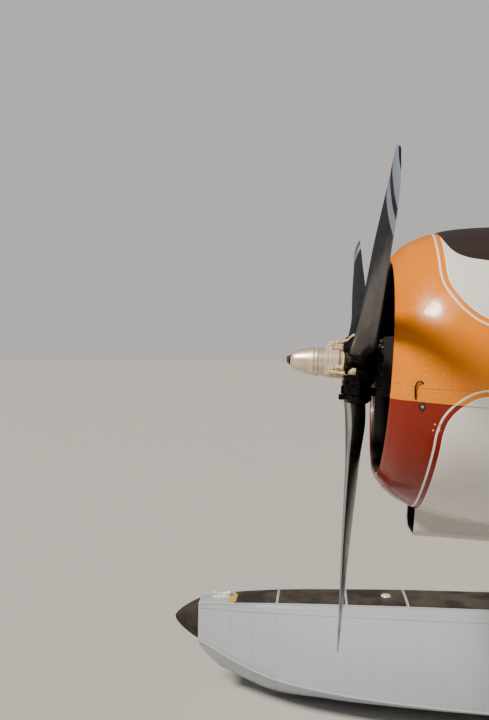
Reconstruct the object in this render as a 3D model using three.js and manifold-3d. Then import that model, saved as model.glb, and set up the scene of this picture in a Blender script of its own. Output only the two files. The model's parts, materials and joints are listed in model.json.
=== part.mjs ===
// A high-wing radial-engined bush floatplane: three-blade propeller, hollow four-door cabin, full-span flaps
// and ailerons, twin floats on braced legs. Millimetres and degrees, +Z up, nose towards -Y, port side +X.
// The origin is on the floor under the middle of the aircraft, which stands on its float keels.

import * as THREE from "three";
import { mergeVertices } from "three/addons/utils/BufferGeometryUtils.js";
import Module from "manifold-3d";

const wasm = await Module();
wasm.setup();

// Driving dimensions of the whole aircraft.
const LENGTH = 9980; // float bow to rudder trailing edge
const SPAN = 14630;
const BOW_AHEAD_OF_HUB = 1130;
const HUB_HEIGHT = 2215;
const NOSE_UP = 4; // thrust line against the float keels
const GAP = 0.4; // left between pieces that touch

// Propeller and nose. Stations run aft from the propeller's plane, heights from the thrust line.
const PROP_RADIUS = 1295;
const BLADE_ANGLES = [62.3, -57.7, 182.3]; // from straight up towards the port side
const HUB = { radius: 85, front: -78, back: 74, barrel: 62, barrelEnd: 172, relief: 6 };
const COWL = { lip: 95, end: 1060, seam: -115, drop: 8 };
const SCOOP = { front: 262, back: 1640, half: 115, skin: 15, bottomFront: -707, bottomBack: -690, ductEnd: 900, round: 42 };
const NOSE_START = 1000;
const FIREWALL = 1750;

// Cabin, in the same stations and heights.
const CABIN_END = 4450;
const FLOOR_TOP = -400;
const ROOF_UNDER = 935;
const WALL = 40;
const HALF_WIDTH = 640;
const DOOR_GAP = 7;
const SCREEN = { base: [1720, 606], top: [2110, 1006], rail: 45, post: 46, glass: 9, frame: 28 };
const CREW_DOOR = [[1860, -360], [2490, -360], [2490, 830], [2060, 830], [1860, 625]];
const CREW_WINDOW = [[1925, 150], [2425, 150], [2425, 765], [2095, 765], [1925, 595]];
const CABIN_DOOR = { y0: 2640, y1: 3640, z0: -360, z1: 640, round: 70 };
const CABIN_WINDOW = { y0: 2750, y1: 3530, z0: 110, z1: 545, round: 95 };
const REAR_WINDOW = { y0: 3850, y1: 4260, z0: 130, z1: 540, round: 120 };

// Wing: a cambered aerofoil of constant chord, cut for a flap and an aileron on each side.
const WING = { chord: 1588, le: 2050, z: 960, root: HALF_WIDTH + 1, dihedral: 2, tip: SPAN / 2 };
const FOIL = { camber: 0.04, peak: 0.4, thick: 0.16 };
const SURFACE = { noseAt: 0.79, noseRadius: 59, clearance: 15, edge: 8 };
const FLAP = { from: 680, to: 4120 };
const AILERON = { from: 4140, to: 6960 };
const STRUT = { y: 2566, z: -430, wingX: 3250, wingZ: 1040, chord: 112, thick: 46 };

// Tail.
const FIN_BACK = 8106;
const RUDDER_AXIS = 8168;
const TAILPLANE_Z = 430;
const ELEVATOR_AXIS = 7990;
const TAIL_HALF_SPAN = 2415;
const TAIL_SKIN = 28;

// Floats, with stations aft from the bow and heights from the keel.
const FLOAT_X = 1450;
const FLOAT_LENGTH = 7400;
const BUMPER_END = 170;
const STEP = 4000;

const rad = THREE.MathUtils.degToRad;
const V = (x, y, z) => new THREE.Vector3(x, y, z);

// Finishes, as seen in daylight.
const paint = (color, roughness = 0.35, metalness = 0.1) =>
  new THREE.MeshStandardMaterial({ color, roughness, metalness });
const FINISH = {
  orange: paint(0xe0690d, 0.25),
  white: paint(0xe6e3dc, 0.35),
  hull: paint(0xcfcdca, 0.45),
  black: paint(0x1f1e1d, 0.6),
  blade: paint(0x2d3032, 0.45, 0.4),
  metal: paint(0xb9b3a8, 0.3, 0.9),
  iron: paint(0x4a4845, 0.55, 0.7),
  rubber: paint(0x2b2622, 0.85, 0),
  glass: paint(0x9fb4bd, 0.05, 0),
  seat: paint(0x5a4a3c, 0.8, 0),
};

// A closed geometry as a solid that can be joined and cut.
function solid(geometry) {
  const loose = geometry.index ? geometry.toNonIndexed() : geometry;
  const bare = new THREE.BufferGeometry().setAttribute("position", loose.getAttribute("position"));
  const merged = mergeVertices(bare, 1e-3);
  const mesh = new wasm.Mesh({
    numProp: 3,
    vertProperties: merged.attributes.position.array,
    triVerts: new Uint32Array(merged.index.array),
  });
  return new wasm.Manifold(mesh);
}

// A solid back as a geometry, with its largest piece kept when a cut leaves crumbs.
function geometryOf(body) {
  const pieces = body.decompose().sort((a, b) => b.volume() - a.volume());
  const mesh = pieces[0].getMesh();
  const geometry = new THREE.BufferGeometry();
  geometry.setAttribute("position", new THREE.BufferAttribute(new Float32Array(mesh.vertProperties), 3));
  geometry.setIndex(new THREE.BufferAttribute(new Uint32Array(mesh.triVerts), 1));
  return geometry;
}

// A closed skin through rings of points with flat ends. Every ring has the same number of points.
function loft(rings) {
  const count = rings[0].length;
  const points = rings.flat();
  const triangles = [];
  for (let i = 0; i < rings.length - 1; i++)
    for (let j = 0; j < count; j++) {
      const a = i * count + j;
      const b = i * count + ((j + 1) % count);
      triangles.push([a, b, b + count], [a, b + count, a + count]);
    }
  capRing(rings[0]).forEach(([a, b, c]) => triangles.push([a, c, b]));
  const last = (rings.length - 1) * count;
  capRing(rings.at(-1)).forEach(([a, b, c]) => triangles.push([last + a, last + b, last + c]));
  let volume = 0;
  for (const [a, b, c] of triangles) volume += points[a].dot(V(0, 0, 0).crossVectors(points[b], points[c]));
  const facing = volume < 0 ? triangles.map(([a, b, c]) => [a, c, b]) : triangles;
  const geometry = new THREE.BufferGeometry().setFromPoints(points);
  geometry.setIndex(facing.flat());
  return solid(geometry);
}

// Triangles that fill a flat ring, turning the same way as the ring.
function capRing(ring) {
  const size = new THREE.Box3().setFromPoints(ring).getSize(V(0, 0, 0));
  const flat = ["x", "y", "z"].sort((p, q) => size[p] - size[q]).slice(1);
  const outline = ring.map((p) => new THREE.Vector2(p[flat[0]], p[flat[1]]));
  const turn = Math.sign(THREE.ShapeUtils.area(outline));
  return THREE.ShapeUtils.triangulateShape(outline, []).map(([a, b, c]) => {
    const side = Math.sign(THREE.ShapeUtils.area([outline[a], outline[b], outline[c]]));
    return side === turn ? [a, b, c] : [a, c, b];
  });
}

function box(x0, x1, y0, y1, z0, z1) {
  const block = new THREE.BoxGeometry(x1 - x0, y1 - y0, z1 - z0);
  return solid(block.translate((x0 + x1) / 2, (y0 + y1) / 2, (z0 + z1) / 2));
}

// A block wider than the fuselage, for cutting across it.
const WIDE = 900;
const slabOf = (y0, y1, z0, z1) => box(-WIDE, WIDE, y0, y1, z0, z1);

// A prism whose outline is a shape in y and z, from x0 to x1.
function sidePrism(shape, x0, x1) {
  const prism = new THREE.ExtrudeGeometry(shape, { depth: x1 - x0, bevelEnabled: false, curveSegments: 5 });
  const turned = new THREE.Matrix4().makeBasis(V(0, 1, 0), V(0, 0, 1), V(1, 0, 0));
  return solid(prism.applyMatrix4(turned).translate(x0, 0, 0));
}

const outlineShape = (points) => new THREE.Shape(points.map(([y, z]) => new THREE.Vector2(y, z)));

// A rectangle with round corners, made smaller by inset on every side.
function roundedShape({ y0, y1, z0, z1, round }, inset = 0) {
  const [a, b, c, d] = [y0 + inset, y1 - inset, z0 + inset, z1 - inset];
  const r = round - inset;
  const shape = new THREE.Shape();
  shape.absarc(b - r, d - r, r, 0, Math.PI / 2);
  shape.absarc(a + r, d - r, r, Math.PI / 2, Math.PI);
  shape.absarc(a + r, c + r, r, Math.PI, 1.5 * Math.PI);
  shape.absarc(b - r, c + r, r, 1.5 * Math.PI, 2 * Math.PI);
  return shape;
}

// A polygon moved inwards by inset along each corner's bisector.
function insetPolygon(points, inset) {
  const n = points.length;
  return points.map(([y, z], i) => {
    const before = points[(i + n - 1) % n];
    const after = points[(i + 1) % n];
    const d1 = new THREE.Vector2(y - before[0], z - before[1]).normalize();
    const d2 = new THREE.Vector2(after[0] - y, after[1] - z).normalize();
    const n1 = new THREE.Vector2(-d1.y, d1.x);
    const n2 = new THREE.Vector2(-d2.y, d2.x);
    const along = n1.clone().add(n2).normalize();
    const reach = inset / along.dot(n1);
    return [y + along.x * reach, z + along.y * reach];
  });
}

// A body turned about the thrust axis from a closed outline of [radius, station].
function turned(outline, segments) {
  const profile = outline.map(([r, y]) => new THREE.Vector2(r, y));
  profile.push(profile[0].clone());
  const ring = new THREE.LatheGeometry(profile, segments);
  const body = solid(ring);
  return body.volume() < 0 ? solid(new THREE.LatheGeometry(profile.reverse(), segments)) : body;
}

// A bar of streamlined section from one point to another, its chord along the flight direction.
function streamBar(from, to, chord, thick, sides = 10) {
  const along = to.clone().sub(from).normalize();
  const across = V(0, 1, 0).addScaledVector(along, -along.y).normalize();
  const side = V(0, 0, 0).crossVectors(along, across);
  const ringAt = (p) =>
    Array.from({ length: sides }, (_, i) => {
      const a = (2 * Math.PI * i) / sides;
      return p.clone().addScaledVector(across, (chord / 2) * Math.cos(a)).addScaledVector(side, (thick / 2) * Math.sin(a));
    });
  return loft([ringAt(from), ringAt(to)]);
}

// A fuselage frame: a rectangle with round corners, in a plane of constant station.
const CORNER_STEPS = 5;
function frameRing({ y, half, top, bottom, round }, grow = 0) {
  const w = half + grow;
  const t = top + grow;
  const b = bottom - grow;
  const r = Math.min(round + grow, 0.97 * w, 0.485 * (t - b));
  const corners = [[w - r, t - r, 0], [r - w, t - r, 90], [r - w, b + r, 180], [w - r, b + r, 270]];
  return corners.flatMap(([x, z, start]) =>
    Array.from({ length: CORNER_STEPS + 1 }, (_, i) => {
      const a = rad(start + (90 * i) / CORNER_STEPS);
      return V(x + r * Math.cos(a), y, z + r * Math.sin(a));
    }),
  );
}
const fuselage = (frames, grow = 0) => loft(frames.map((frame) => frameRing(frame, grow)));

// Fuselage frames: station, half width, top, bottom, corner radius.
const frameTable = (rows) => rows.map(([y, half, top, bottom, round]) => ({ y, half, top, bottom, round }));
const NOSE_FRAMES = frameTable([
  [NOSE_START, 545, 545, -545, 530],
  [1130, 585, 580, -590, 560],
  [1450, 628, 606, -645, 260],
  [FIREWALL, HALF_WIDTH, 606, -660, 110],
]);
const CABIN_FRAMES = frameTable([
  [FIREWALL + GAP, HALF_WIDTH, 1000, -660, 110],
  [3700, HALF_WIDTH, 1000, -660, 110],
  [CABIN_END, 606, 952, -606, 125],
]);
const TAIL_FRAMES = frameTable([
  [CABIN_END + GAP, 606, 952, -606, 125],
  [5500, 440, 838, -425, 140],
  [6500, 275, 700, -220, 120],
  [7500, 132, 566, -10, 80],
  [8112, 62, 486, 116, 50],
]);

// Aerofoil heights above the chord line: NACA four-digit camber and thickness, for a chord of 1.
function foilHeights(x) {
  const { camber, peak, thick } = FOIL;
  const mean =
    x < peak
      ? (camber / peak ** 2) * (2 * peak * x - x * x)
      : (camber / (1 - peak) ** 2) * (1 - 2 * peak + 2 * peak * x - x * x);
  const half = 5 * thick * (0.2969 * Math.sqrt(x) - 0.126 * x - 0.3516 * x ** 2 + 0.2843 * x ** 3 - 0.1015 * x ** 4);
  return { upper: mean + half, lower: mean - half, mean };
}
const FOIL_STATIONS = [0.012, 0.05, 0.12, 0.25, 0.4, 0.6, 0.8, 1];

// The wing's section at one place along the span, its chord shrunk about the middle of the chord.
function wingRing(x, shrink = 1) {
  const chord = WING.chord * shrink;
  const front = WING.le + (WING.chord - chord) * 0.45;
  const lift = Math.tan(rad(WING.dihedral)) * Math.max(0, Math.abs(x) - WING.root);
  const at = (u, h) => V(x, front + u * chord, WING.z + lift + h * chord);
  const upper = FOIL_STATIONS.map((u) => at(u, foilHeights(u).upper));
  const lower = FOIL_STATIONS.map((u) => at(u, foilHeights(u).lower));
  return [at(0, 0), ...upper, ...lower.reverse()];
}

// The rounded nose and straight taper of a control surface: nose centre, nose radius, trailing edge.
function surfaceSection(nose, radius, edge) {
  const slope = Math.atan2(edge[1] - nose[1], edge[0] - nose[0]);
  const points = [];
  for (let i = 0; i <= 6; i++) {
    const a = slope + Math.PI / 2 + (Math.PI * i) / 6;
    points.push([nose[0] + radius * Math.cos(a), nose[1] + radius * Math.sin(a)]);
  }
  points.push([edge[0], edge[1] - SURFACE.edge / 2], [edge[0], edge[1] + SURFACE.edge / 2]);
  return points;
}

const WING_NOSE = {
  y: WING.le + SURFACE.noseAt * WING.chord,
  z: WING.z + foilHeights(SURFACE.noseAt).mean * WING.chord,
};
const wingLift = (x) => Math.tan(rad(WING.dihedral)) * (x - WING.root);

// A flap or aileron between two places along the port wing.
function trailingSurface({ from, to }) {
  const section = surfaceSection([WING_NOSE.y, WING_NOSE.z], SURFACE.noseRadius, [WING.le + WING.chord, WING.z]);
  return loft([from, to].map((x) => section.map(([y, z]) => V(x, y, z + wingLift(x)))));
}

function portWing() {
  const rings = [[WING.root, 1], [7000, 1], [7190, 0.93], [7280, 0.78], [WING.tip, 0.52]];
  const whole = loft(rings.map(([x, shrink]) => wingRing(x, shrink)));
  const cove = WING_NOSE.y - SURFACE.noseRadius - SURFACE.clearance;
  const side = 12;
  const slot = box(0, AILERON.to + side, cove, 4000, 0, 2000);
  return whole.subtract(slot);
}

const mirrored = (body) => body.mirror([1, 0, 0]);

// The engine cowl: a wrapped sheet with a rolled lip, cut into an upper and a lower part.
const COWL_OUTSIDE = [[474, COWL.lip], [486, 106], [526, 140], [565, 205], [599, 300], [619, 420], [630, 600], [616, 900], [600, COWL.end]];
const COWL_INSIDE = [[584, COWL.end], [606, 600], [580, 330], [540, 210], [470, 150], [452, 118], [458, 100]];
const cowlWhole = turned([...COWL_OUTSIDE, ...COWL_INSIDE], 48).translate([0, 0, -COWL.drop]);

function exhaustPipe(grow = 0) {
  const path = new THREE.CatmullRomCurve3([V(-250, 860, -390), V(-325, 1020, -560), V(-352, 1210, -722), V(-352, 1440, -770)]);
  const circle = new THREE.Shape().absarc(0, 0, 44 + grow, 0, 2 * Math.PI);
  return solid(new THREE.ExtrudeGeometry(circle, { extrudePath: path, steps: 9, curveSegments: 5 }));
}
const exhaustRoom = exhaustPipe(14);

const cowlUpper = cowlWhole.intersect(slabOf(0, NOSE_START * 2, COWL.seam + GAP / 2, WIDE));
const cowlLower = cowlWhole.intersect(slabOf(0, NOSE_START * 2, -WIDE, COWL.seam - GAP / 2)).subtract(exhaustRoom);
const noseSection = fuselage(NOSE_FRAMES).subtract(exhaustRoom);

// Engine: nose case, crankcase and accessory case, and nine cylinders with their heads.
function radialEngine() {
  const cases = [[0, 90], [46, 90], [46, 128], [118, 150], [182, 235], [236, 300], [236, 560], [190, 640], [190, NOSE_START - GAP], [0, NOSE_START - GAP]];
  let engine = turned(cases, 24);
  for (let i = 0; i < 9; i++) {
    const barrel = new THREE.CylinderGeometry(74, 74, 260, 10).translate(0, 310, 0);
    const head = new THREE.CylinderGeometry(70, 90, 135, 10).translate(0, 500, 0);
    for (const piece of [barrel, head]) {
      piece.rotateX(Math.PI / 2).rotateY((2 * Math.PI * i) / 9).translate(0, 430, 0);
      engine = engine.add(solid(piece));
    }
  }
  return engine;
}

// The air scoop under the cowl, an open trough with round lower corners whose roof is the cowl itself.
function intakeScoop() {
  const roof = -300;
  const trough = (front, back, inset) => {
    const frame = (y, bottom) => ({ y, half: SCOOP.half - inset, top: roof + 100, bottom: bottom + inset, round: SCOOP.round - inset });
    const slope = (SCOOP.bottomBack - SCOOP.bottomFront) / (SCOOP.back - SCOOP.front);
    return fuselage([front, back].map((y) => frame(y, SCOOP.bottomFront + slope * (y - SCOOP.front))));
  };
  const cowlRoom = [[0, 0], ...COWL_OUTSIDE.map(([r, y]) => [r + GAP, y]), [COWL_OUTSIDE.at(-1)[0] + GAP, SCOOP.back], [0, SCOOP.back]];
  return trough(SCOOP.front, SCOOP.back, 0)
    .subtract(trough(SCOOP.front - 50, SCOOP.ductEnd, SCOOP.skin))
    .subtract(turned(cowlRoom, 48).translate([0, 0, -COWL.drop]))
    .subtract(fuselage(NOSE_FRAMES, GAP))
    .subtract(slabOf(0, SCOOP.back, roof, 0));
}

// Propeller. A blade's section is cambered on its forward side; sweep moves it towards the trailing edge.
const SECTION_HEIGHT = 1.6; // from the lowest to the highest number in the section's outline
function bladeSection(r, chord, thick, pitch, sweep) {
  const outline = [[-0.5, 0.06], [-0.38, 0.62], [-0.15, 1], [0.15, 0.86], [0.38, 0.42], [0.5, 0.08], [0.5, -0.08], [0.38, -0.3], [0.15, -0.55], [-0.15, -0.6], [-0.38, -0.4], [-0.5, -0.06]];
  const c = Math.cos(rad(pitch));
  const s = Math.sin(rad(pitch));
  return outline.map(([u, h]) => {
    const along = (u + sweep) * chord;
    const out = (h * thick) / SECTION_HEIGHT;
    return V(along * c + out * s, along * s - out * c, r);
  });
}
const BLADE = [
  // radius, chord, thickness, pitch, sweep as a share of the chord
  [150, 98, 94, 49, 0],
  [260, 112, 80, 38, 0.18],
  [400, 129, 50, 27.5, 0.17],
  [600, 145, 34, 20.5, 0.14],
  [820, 160, 24, 14, 0.11],
  [1040, 160, 17, 9, 0.15],
  [1180, 141, 13, 7, 0.16],
  [1255, 99, 9, 7.5, 0.1],
  [PROP_RADIUS, 34, 5, 9, 0.03],
];
function propBlade(angle) {
  return loft(BLADE.map((row) => bladeSection(...row)))
    .subtract(solid(new THREE.CylinderGeometry(HUB.barrelEnd, HUB.barrelEnd, 400, 36)))
    .rotate([0, angle, 0]);
}
function propHub() {
  let hub = turned([[0, HUB.front], [HUB.radius, HUB.front], [HUB.radius, HUB.back], [0, HUB.back]], 24);
  for (const angle of BLADE_ANGLES) {
    const length = HUB.barrelEnd - HUB.relief;
    const barrel = new THREE.CylinderGeometry(HUB.barrel, HUB.barrel, length, 16);
    barrel.translate(0, length / 2, 0).rotateX(Math.PI / 2).rotateY(rad(angle));
    hub = hub.add(solid(barrel));
  }
  const reach = HUB.barrelEnd - GAP;
  return hub.intersect(turned([[0, HUB.front], [reach, HUB.front], [reach, HUB.back], [0, HUB.back]], 36));
}
const DOME = [[0, -318], [13, -318], [13, -302], [30, -298], [36, -288], [45, -266], [52, -240], [58, -200], [61, -170], [61, -138], [71, -138], [71, -88], [60, HUB.front - GAP], [0, HUB.front - GAP]];

// Cabin: one outer skin, cut into floor, roof and sides along the real joints.
// The windscreen's plane: points at a distance up the slope from its base and a depth behind its face.
const screenLength = Math.hypot(SCREEN.top[0] - SCREEN.base[0], SCREEN.top[1] - SCREEN.base[1]);
const screenUp = [0, 1].map((i) => (SCREEN.top[i] - SCREEN.base[i]) / screenLength);
function screenPoint(up, depth) {
  return [
    SCREEN.base[0] + up * screenUp[0] + depth * screenUp[1],
    SCREEN.base[1] + up * screenUp[1] - depth * screenUp[0],
  ];
}
function screenSlab([low, high], [front, back], [x0, x1]) {
  const corners = [[low, back], [high, back], [high, front], [low, front]];
  return sidePrism(outlineShape(corners.map(([up, depth]) => screenPoint(up, depth))), x0, x1);
}
const aheadOfScreen = screenSlab([-2000, 2000], [-2000, 0], [-WIDE, WIDE]);
const cabinSkin = fuselage(CABIN_FRAMES).subtract(aheadOfScreen);
const cabinFloor = cabinSkin.intersect(slabOf(0, LENGTH, -WIDE, FLOOR_TOP));
const centreWing = sidePrism(outlineShape(wingRing(WING.root).map((p) => [p.y, p.z])), -HALF_WIDTH, HALF_WIDTH);
const cabinRoof = cabinSkin.add(centreWing).intersect(slabOf(0, LENGTH, ROOF_UNDER, HUB_HEIGHT));

const throughPortWall = (shape) => sidePrism(shape, HALF_WIDTH / 2, WIDE);
const crewDoorShape = (inset) => outlineShape(insetPolygon(CREW_DOOR, inset));
const doorOpenings = throughPortWall(crewDoorShape(0)).add(throughPortWall(roundedShape(CABIN_DOOR)));
const portWallZone = box(HALF_WIDTH - WALL - 34, WIDE, FIREWALL, CABIN_END, FLOOR_TOP + GAP, ROOF_UNDER - GAP);
const portSkin = cabinSkin.intersect(portWallZone).subtract(fuselage(CABIN_FRAMES, -WALL));
const portWall = portSkin.subtract(doorOpenings).subtract(throughPortWall(roundedShape(REAR_WINDOW)));
const crewDoor = portSkin.intersect(throughPortWall(crewDoorShape(DOOR_GAP)));
const crewWindowHole = throughPortWall(outlineShape(CREW_WINDOW));
const cabinDoor = portSkin.intersect(throughPortWall(roundedShape(CABIN_DOOR, DOOR_GAP)));
const cabinWindowHole = throughPortWall(roundedShape(CABIN_WINDOW));

// A pane set in the middle of the wall, filling a window's outline but for the gap.
const PANE_HALF = 4;
function pane(shape) {
  const middle = fuselage(CABIN_FRAMES, PANE_HALF - WALL / 2).subtract(fuselage(CABIN_FRAMES, -PANE_HALF - WALL / 2));
  return middle.intersect(throughPortWall(shape)).intersect(box(HALF_WIDTH - 140, WIDE, 0, LENGTH, -WIDE, WIDE));
}

const SCREEN_HALF = HALF_WIDTH - WALL - 20; // clear of the walls' curved top edges
function windscreenFrame() {
  const roofAt = (ROOF_UNDER - SCREEN.base[1]) / screenUp[1];
  const opening = [SCREEN.rail, roofAt - SCREEN.rail];
  const across = [SCREEN.post / 2, SCREEN_HALF - SCREEN.post];
  const hole = screenSlab(opening, [-20, SCREEN.frame + 20], across);
  const slab = screenSlab([0, screenLength], [0, SCREEN.frame], [-SCREEN_HALF, SCREEN_HALF]);
  return slab.subtract(hole).subtract(mirrored(hole));
}
function windscreenGlass() {
  const front = SCREEN.frame + GAP;
  return screenSlab([0, screenLength], [front, front + SCREEN.glass], [-SCREEN_HALF, SCREEN_HALF]);
}
const roofClear = cabinRoof.translate([0, -GAP, -GAP]);
const noseClear = noseSection.translate([0, GAP, GAP]);
const cutScreen = (body) => body.subtract(roofClear).subtract(noseClear);

// Cabin furniture: a seat is a base, a cushion block and a back in one outline.
function seat(x0, x1, y, back) {
  const outline = outlineShape([[y, FLOOR_TOP + GAP], [y + 300, FLOOR_TOP + GAP], [y + 330, -120], [y + 400, back - 20], [y + 395, back], [y + 330, back], [y + 300, -20], [y - 90, 0], [y - 110, -40], [y - 100, -120], [y, -140]]);
  return sidePrism(outline, x0, x1);
}

// Tail surfaces. A fixed surface is a nose ellipse with a straight run to its back face.
function fixedSection(front, back, half, backHalf) {
  const steps = [[0, 0], [0.02, 0.3], [0.09, 0.62], [0.2, 0.88], [0.38, 1]];
  const upper = steps.map(([u, h]) => [front + u * (back - front), h * half]);
  upper.push([back, backHalf]);
  return [...upper, ...upper.slice(1).reverse().map(([y, h]) => [y, -h])];
}

// The rear fuselage is a shell, open to the cabin.
function rearFuselage() {
  const inside = fuselage(TAIL_FRAMES, -TAIL_SKIN).intersect(slabOf(0, 7500, -WIDE, HUB_HEIGHT));
  const mouth = fuselage([-10, 10].map((aft) => ({ ...TAIL_FRAMES[0], y: TAIL_FRAMES[0].y + aft })), -TAIL_SKIN);
  return fuselage(TAIL_FRAMES).subtract(inside).subtract(mouth);
}

function fin() {
  // height, front, half thickness
  const rows = [[380, 6050, 30], [560, 6450, 32], [700, 7020, 36], [860, 7270, 42], [1150, 7430, 42], [1420, 7590, 38], [1600, 7760, 32], [1700, 7930, 24]];
  const body = loft(rows.map(([z, front, half]) => fixedSection(front, FIN_BACK, half, half * 0.9).map(([y, x]) => V(x, y, z))));
  return body.subtract(fuselage(TAIL_FRAMES, GAP));
}
function rudder() {
  // height, trailing edge
  const rows = [[128, 8520], [240, 8690], [480, 8795], [800, 8816], [1150, 8775], [1450, 8670], [1620, 8530], [1715, 8370]];
  return loft(rows.map(([z, edge]) => surfaceSection([RUDDER_AXIS, 0], z > 1500 ? 30 : 38, [edge, 0]).map(([y, x]) => V(x, y, z))));
}
function ventralFin() {
  const rows = [[160, 6750, 8060], [-20, 6900, 8070], [-150, 7120, 8060], [-250, 7420, 8000]];
  const body = loft(rows.map(([z, front, back]) => fixedSection(front, back, 16, 10).map(([y, x]) => V(x, y, z))));
  return body.subtract(fuselage(TAIL_FRAMES, GAP));
}
function portTailplane() {
  const back = ELEVATOR_AXIS - 36 - 16;
  // distance out, front, half thickness
  const rows = [[20, 7120, 44], [2100, 7390, 40], [2300, 7480, 32], [2390, 7600, 22], [TAIL_HALF_SPAN, 7720, 12]];
  const body = loft(rows.map(([x, front, half]) => fixedSection(front, back, half, half * 0.88).map(([y, z]) => V(x, y, TAILPLANE_Z + z))));
  return body.subtract(fuselage(TAIL_FRAMES, GAP)).subtract(fin().translate([GAP, 0, 0]));
}
function portElevator() {
  // distance out, trailing edge, nose radius
  const rows = [[105, 8050, 36], [300, 8440, 36], [2000, 8420, 35], [2240, 8340, 28], [2380, 8180, 20], [TAIL_HALF_SPAN, 8080, 12]];
  return loft(rows.map(([x, edge, r]) => surfaceSection([ELEVATOR_AXIS, TAILPLANE_Z], r, [edge, TAILPLANE_Z]).map(([y, z]) => V(x, y, z))));
}

// Float frames: station, half beam at the chine, heights of keel, chine and deck, half width of the deck.
const FLOAT_FRAMES = [
  [BUMPER_END, 95, 315, 395, 624, 73],
  [260, 122, 212, 362, 637, 92],
  [385, 166, 152, 315, 648, 116],
  [630, 240, 52, 246, 664, 139],
  [1050, 332, 10, 204, 678, 156],
  [1400, 374, 2, 188, 685, 166],
  [2000, 412, 0, 174, 690, 175],
  [STEP, 425, 0, 168, 692, 180],
  [STEP + 4, 422, 88, 212, 692, 180],
  [5200, 372, 244, 340, 684, 168],
  [6500, 262, 398, 458, 668, 134],
  [FLOAT_LENGTH, 140, 486, 520, 654, 88],
];
const DECK_CROWN = 10;
// The side leans in as it rises: share of the way up, and how much of the beam past the deck is left there.
const FLOAT_SIDE = [[0, 1], [0.25, 0.95], [0.5, 0.76], [0.75, 0.44], [0.9, 0.19], [1, 0]];
function floatRing([s, beam, keel, chine, deck, top]) {
  const side = FLOAT_SIDE.map(([up, left]) => [top + left * (beam - top), chine + up * (deck - chine)]);
  const half = [[0, keel], [beam * 0.5, keel + (chine - keel) * 0.4], ...side, [top * 0.5, deck + DECK_CROWN * 0.8]];
  const other = half.slice(1).reverse().map(([x, z]) => [-x, z]);
  return [...half, ...other].map(([x, z]) => V(x, s - LENGTH / 2, z));
}
const floatHull = loft(FLOAT_FRAMES.map(floatRing));

// The rubber bow bumper, a blunt cone on the bow above its chines.
const BUMPER = { half: 92, tip: 511, middle: 503, rise: 124 };
function bowBumper() {
  const ring = Array.from({ length: 16 }, (_, i) => {
    const [c, d] = [Math.cos((Math.PI * i) / 8), Math.sin((Math.PI * i) / 8)];
    return [Math.sign(c) * Math.abs(c) ** 0.75 * BUMPER.half, Math.sign(d) * Math.abs(d) ** 0.75 * BUMPER.rise];
  });
  const rows = [[BUMPER_END - GAP, 1], [142, 0.93], [100, 0.75], [45, 0.45], [14, 0.2], [0, 0.06]];
  return loft(
    rows.map(([s, share]) => {
      const middle = BUMPER.tip + share * (BUMPER.middle - BUMPER.tip);
      return ring.map(([x, z]) => V(x * share, s - LENGTH / 2, middle + z * share));
    }),
  );
}

function waterRudder() {
  const stern = FLOAT_LENGTH - LENGTH / 2;
  const axis = stern + 44;
  const outline = outlineShape([[axis - 16, 640], [axis + 22, 640], [axis + 120, 560], [axis + 300, 420], [axis + 320, 250], [axis + 230, 215], [axis + 24, 330], [axis - 16, 420]]);
  const post = new THREE.CylinderGeometry(16, 16, 360, 10).rotateX(Math.PI / 2).translate(0, axis, 560);
  const tiller = box(-110, 110, axis - 12, axis + 14, 724, 740);
  return sidePrism(outline, -11, 11).add(solid(post)).add(tiller);
}

// The floats' legs and spreaders, in the aircraft's own standing frame.
const airframePlace = new THREE.Matrix4()
  .makeTranslation(0, BOW_AHEAD_OF_HUB - LENGTH / 2, HUB_HEIGHT)
  .multiply(new THREE.Matrix4().makeRotationX(-rad(NOSE_UP)));
const place = (x, y, z) => V(x, y, z).applyMatrix4(airframePlace);
const standing = (body) => body.transform(airframePlace.elements);
const bellyClear = standing(fuselage(CABIN_FRAMES, GAP));
const FITTING = { deckX: 1290, frontY: -2290, rearY: -150, deckZ: 640, bodyX: 505, bodyZ: -560 };
const portFloat = floatHull.translate([FLOAT_X, 0, 0]);

// The float's legs: a front leg, and a rear leg with a diagonal from its foot to the front fitting.
function portLegs() {
  const fitting = (station) => place(FITTING.bodyX, station, FITTING.bodyZ);
  const rearFoot = V(FITTING.deckX, FITTING.rearY, FITTING.deckZ);
  const front = streamBar(V(FITTING.deckX, FITTING.frontY, FITTING.deckZ), fitting(1850), 120, 52);
  const rear = streamBar(rearFoot, fitting(3560), 104, 46);
  const diagonal = streamBar(rearFoot, fitting(2150), 84, 38);
  const trim = (body) => body.subtract(portFloat.translate([0, 0, GAP])).subtract(bellyClear);
  return { front: trim(front), rear: trim(rear.add(diagonal)) };
}
function spreader(y) {
  const bar = streamBar(V(-1300, y, 610), V(1300, y, 610), 116, 50);
  const inside = portFloat.translate([-GAP, 0, 0]);
  return bar.subtract(inside).subtract(mirrored(inside));
}

// Assembly.
const aircraft = new THREE.Group();
const airframe = new THREE.Group();
airframe.applyMatrix4(airframePlace);
aircraft.add(airframe);

function addPiece(group, name, body, material) {
  const mesh = new THREE.Mesh(geometryOf(body), material);
  mesh.name = name;
  group.add(mesh);
  return mesh;
}
// Adds a port piece and its mirror image to starboard.
function addPair(group, name, body, material) {
  addPiece(group, name + "_port", body, material);
  addPiece(group, name + "_starboard", mirrored(body), material);
}

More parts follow.
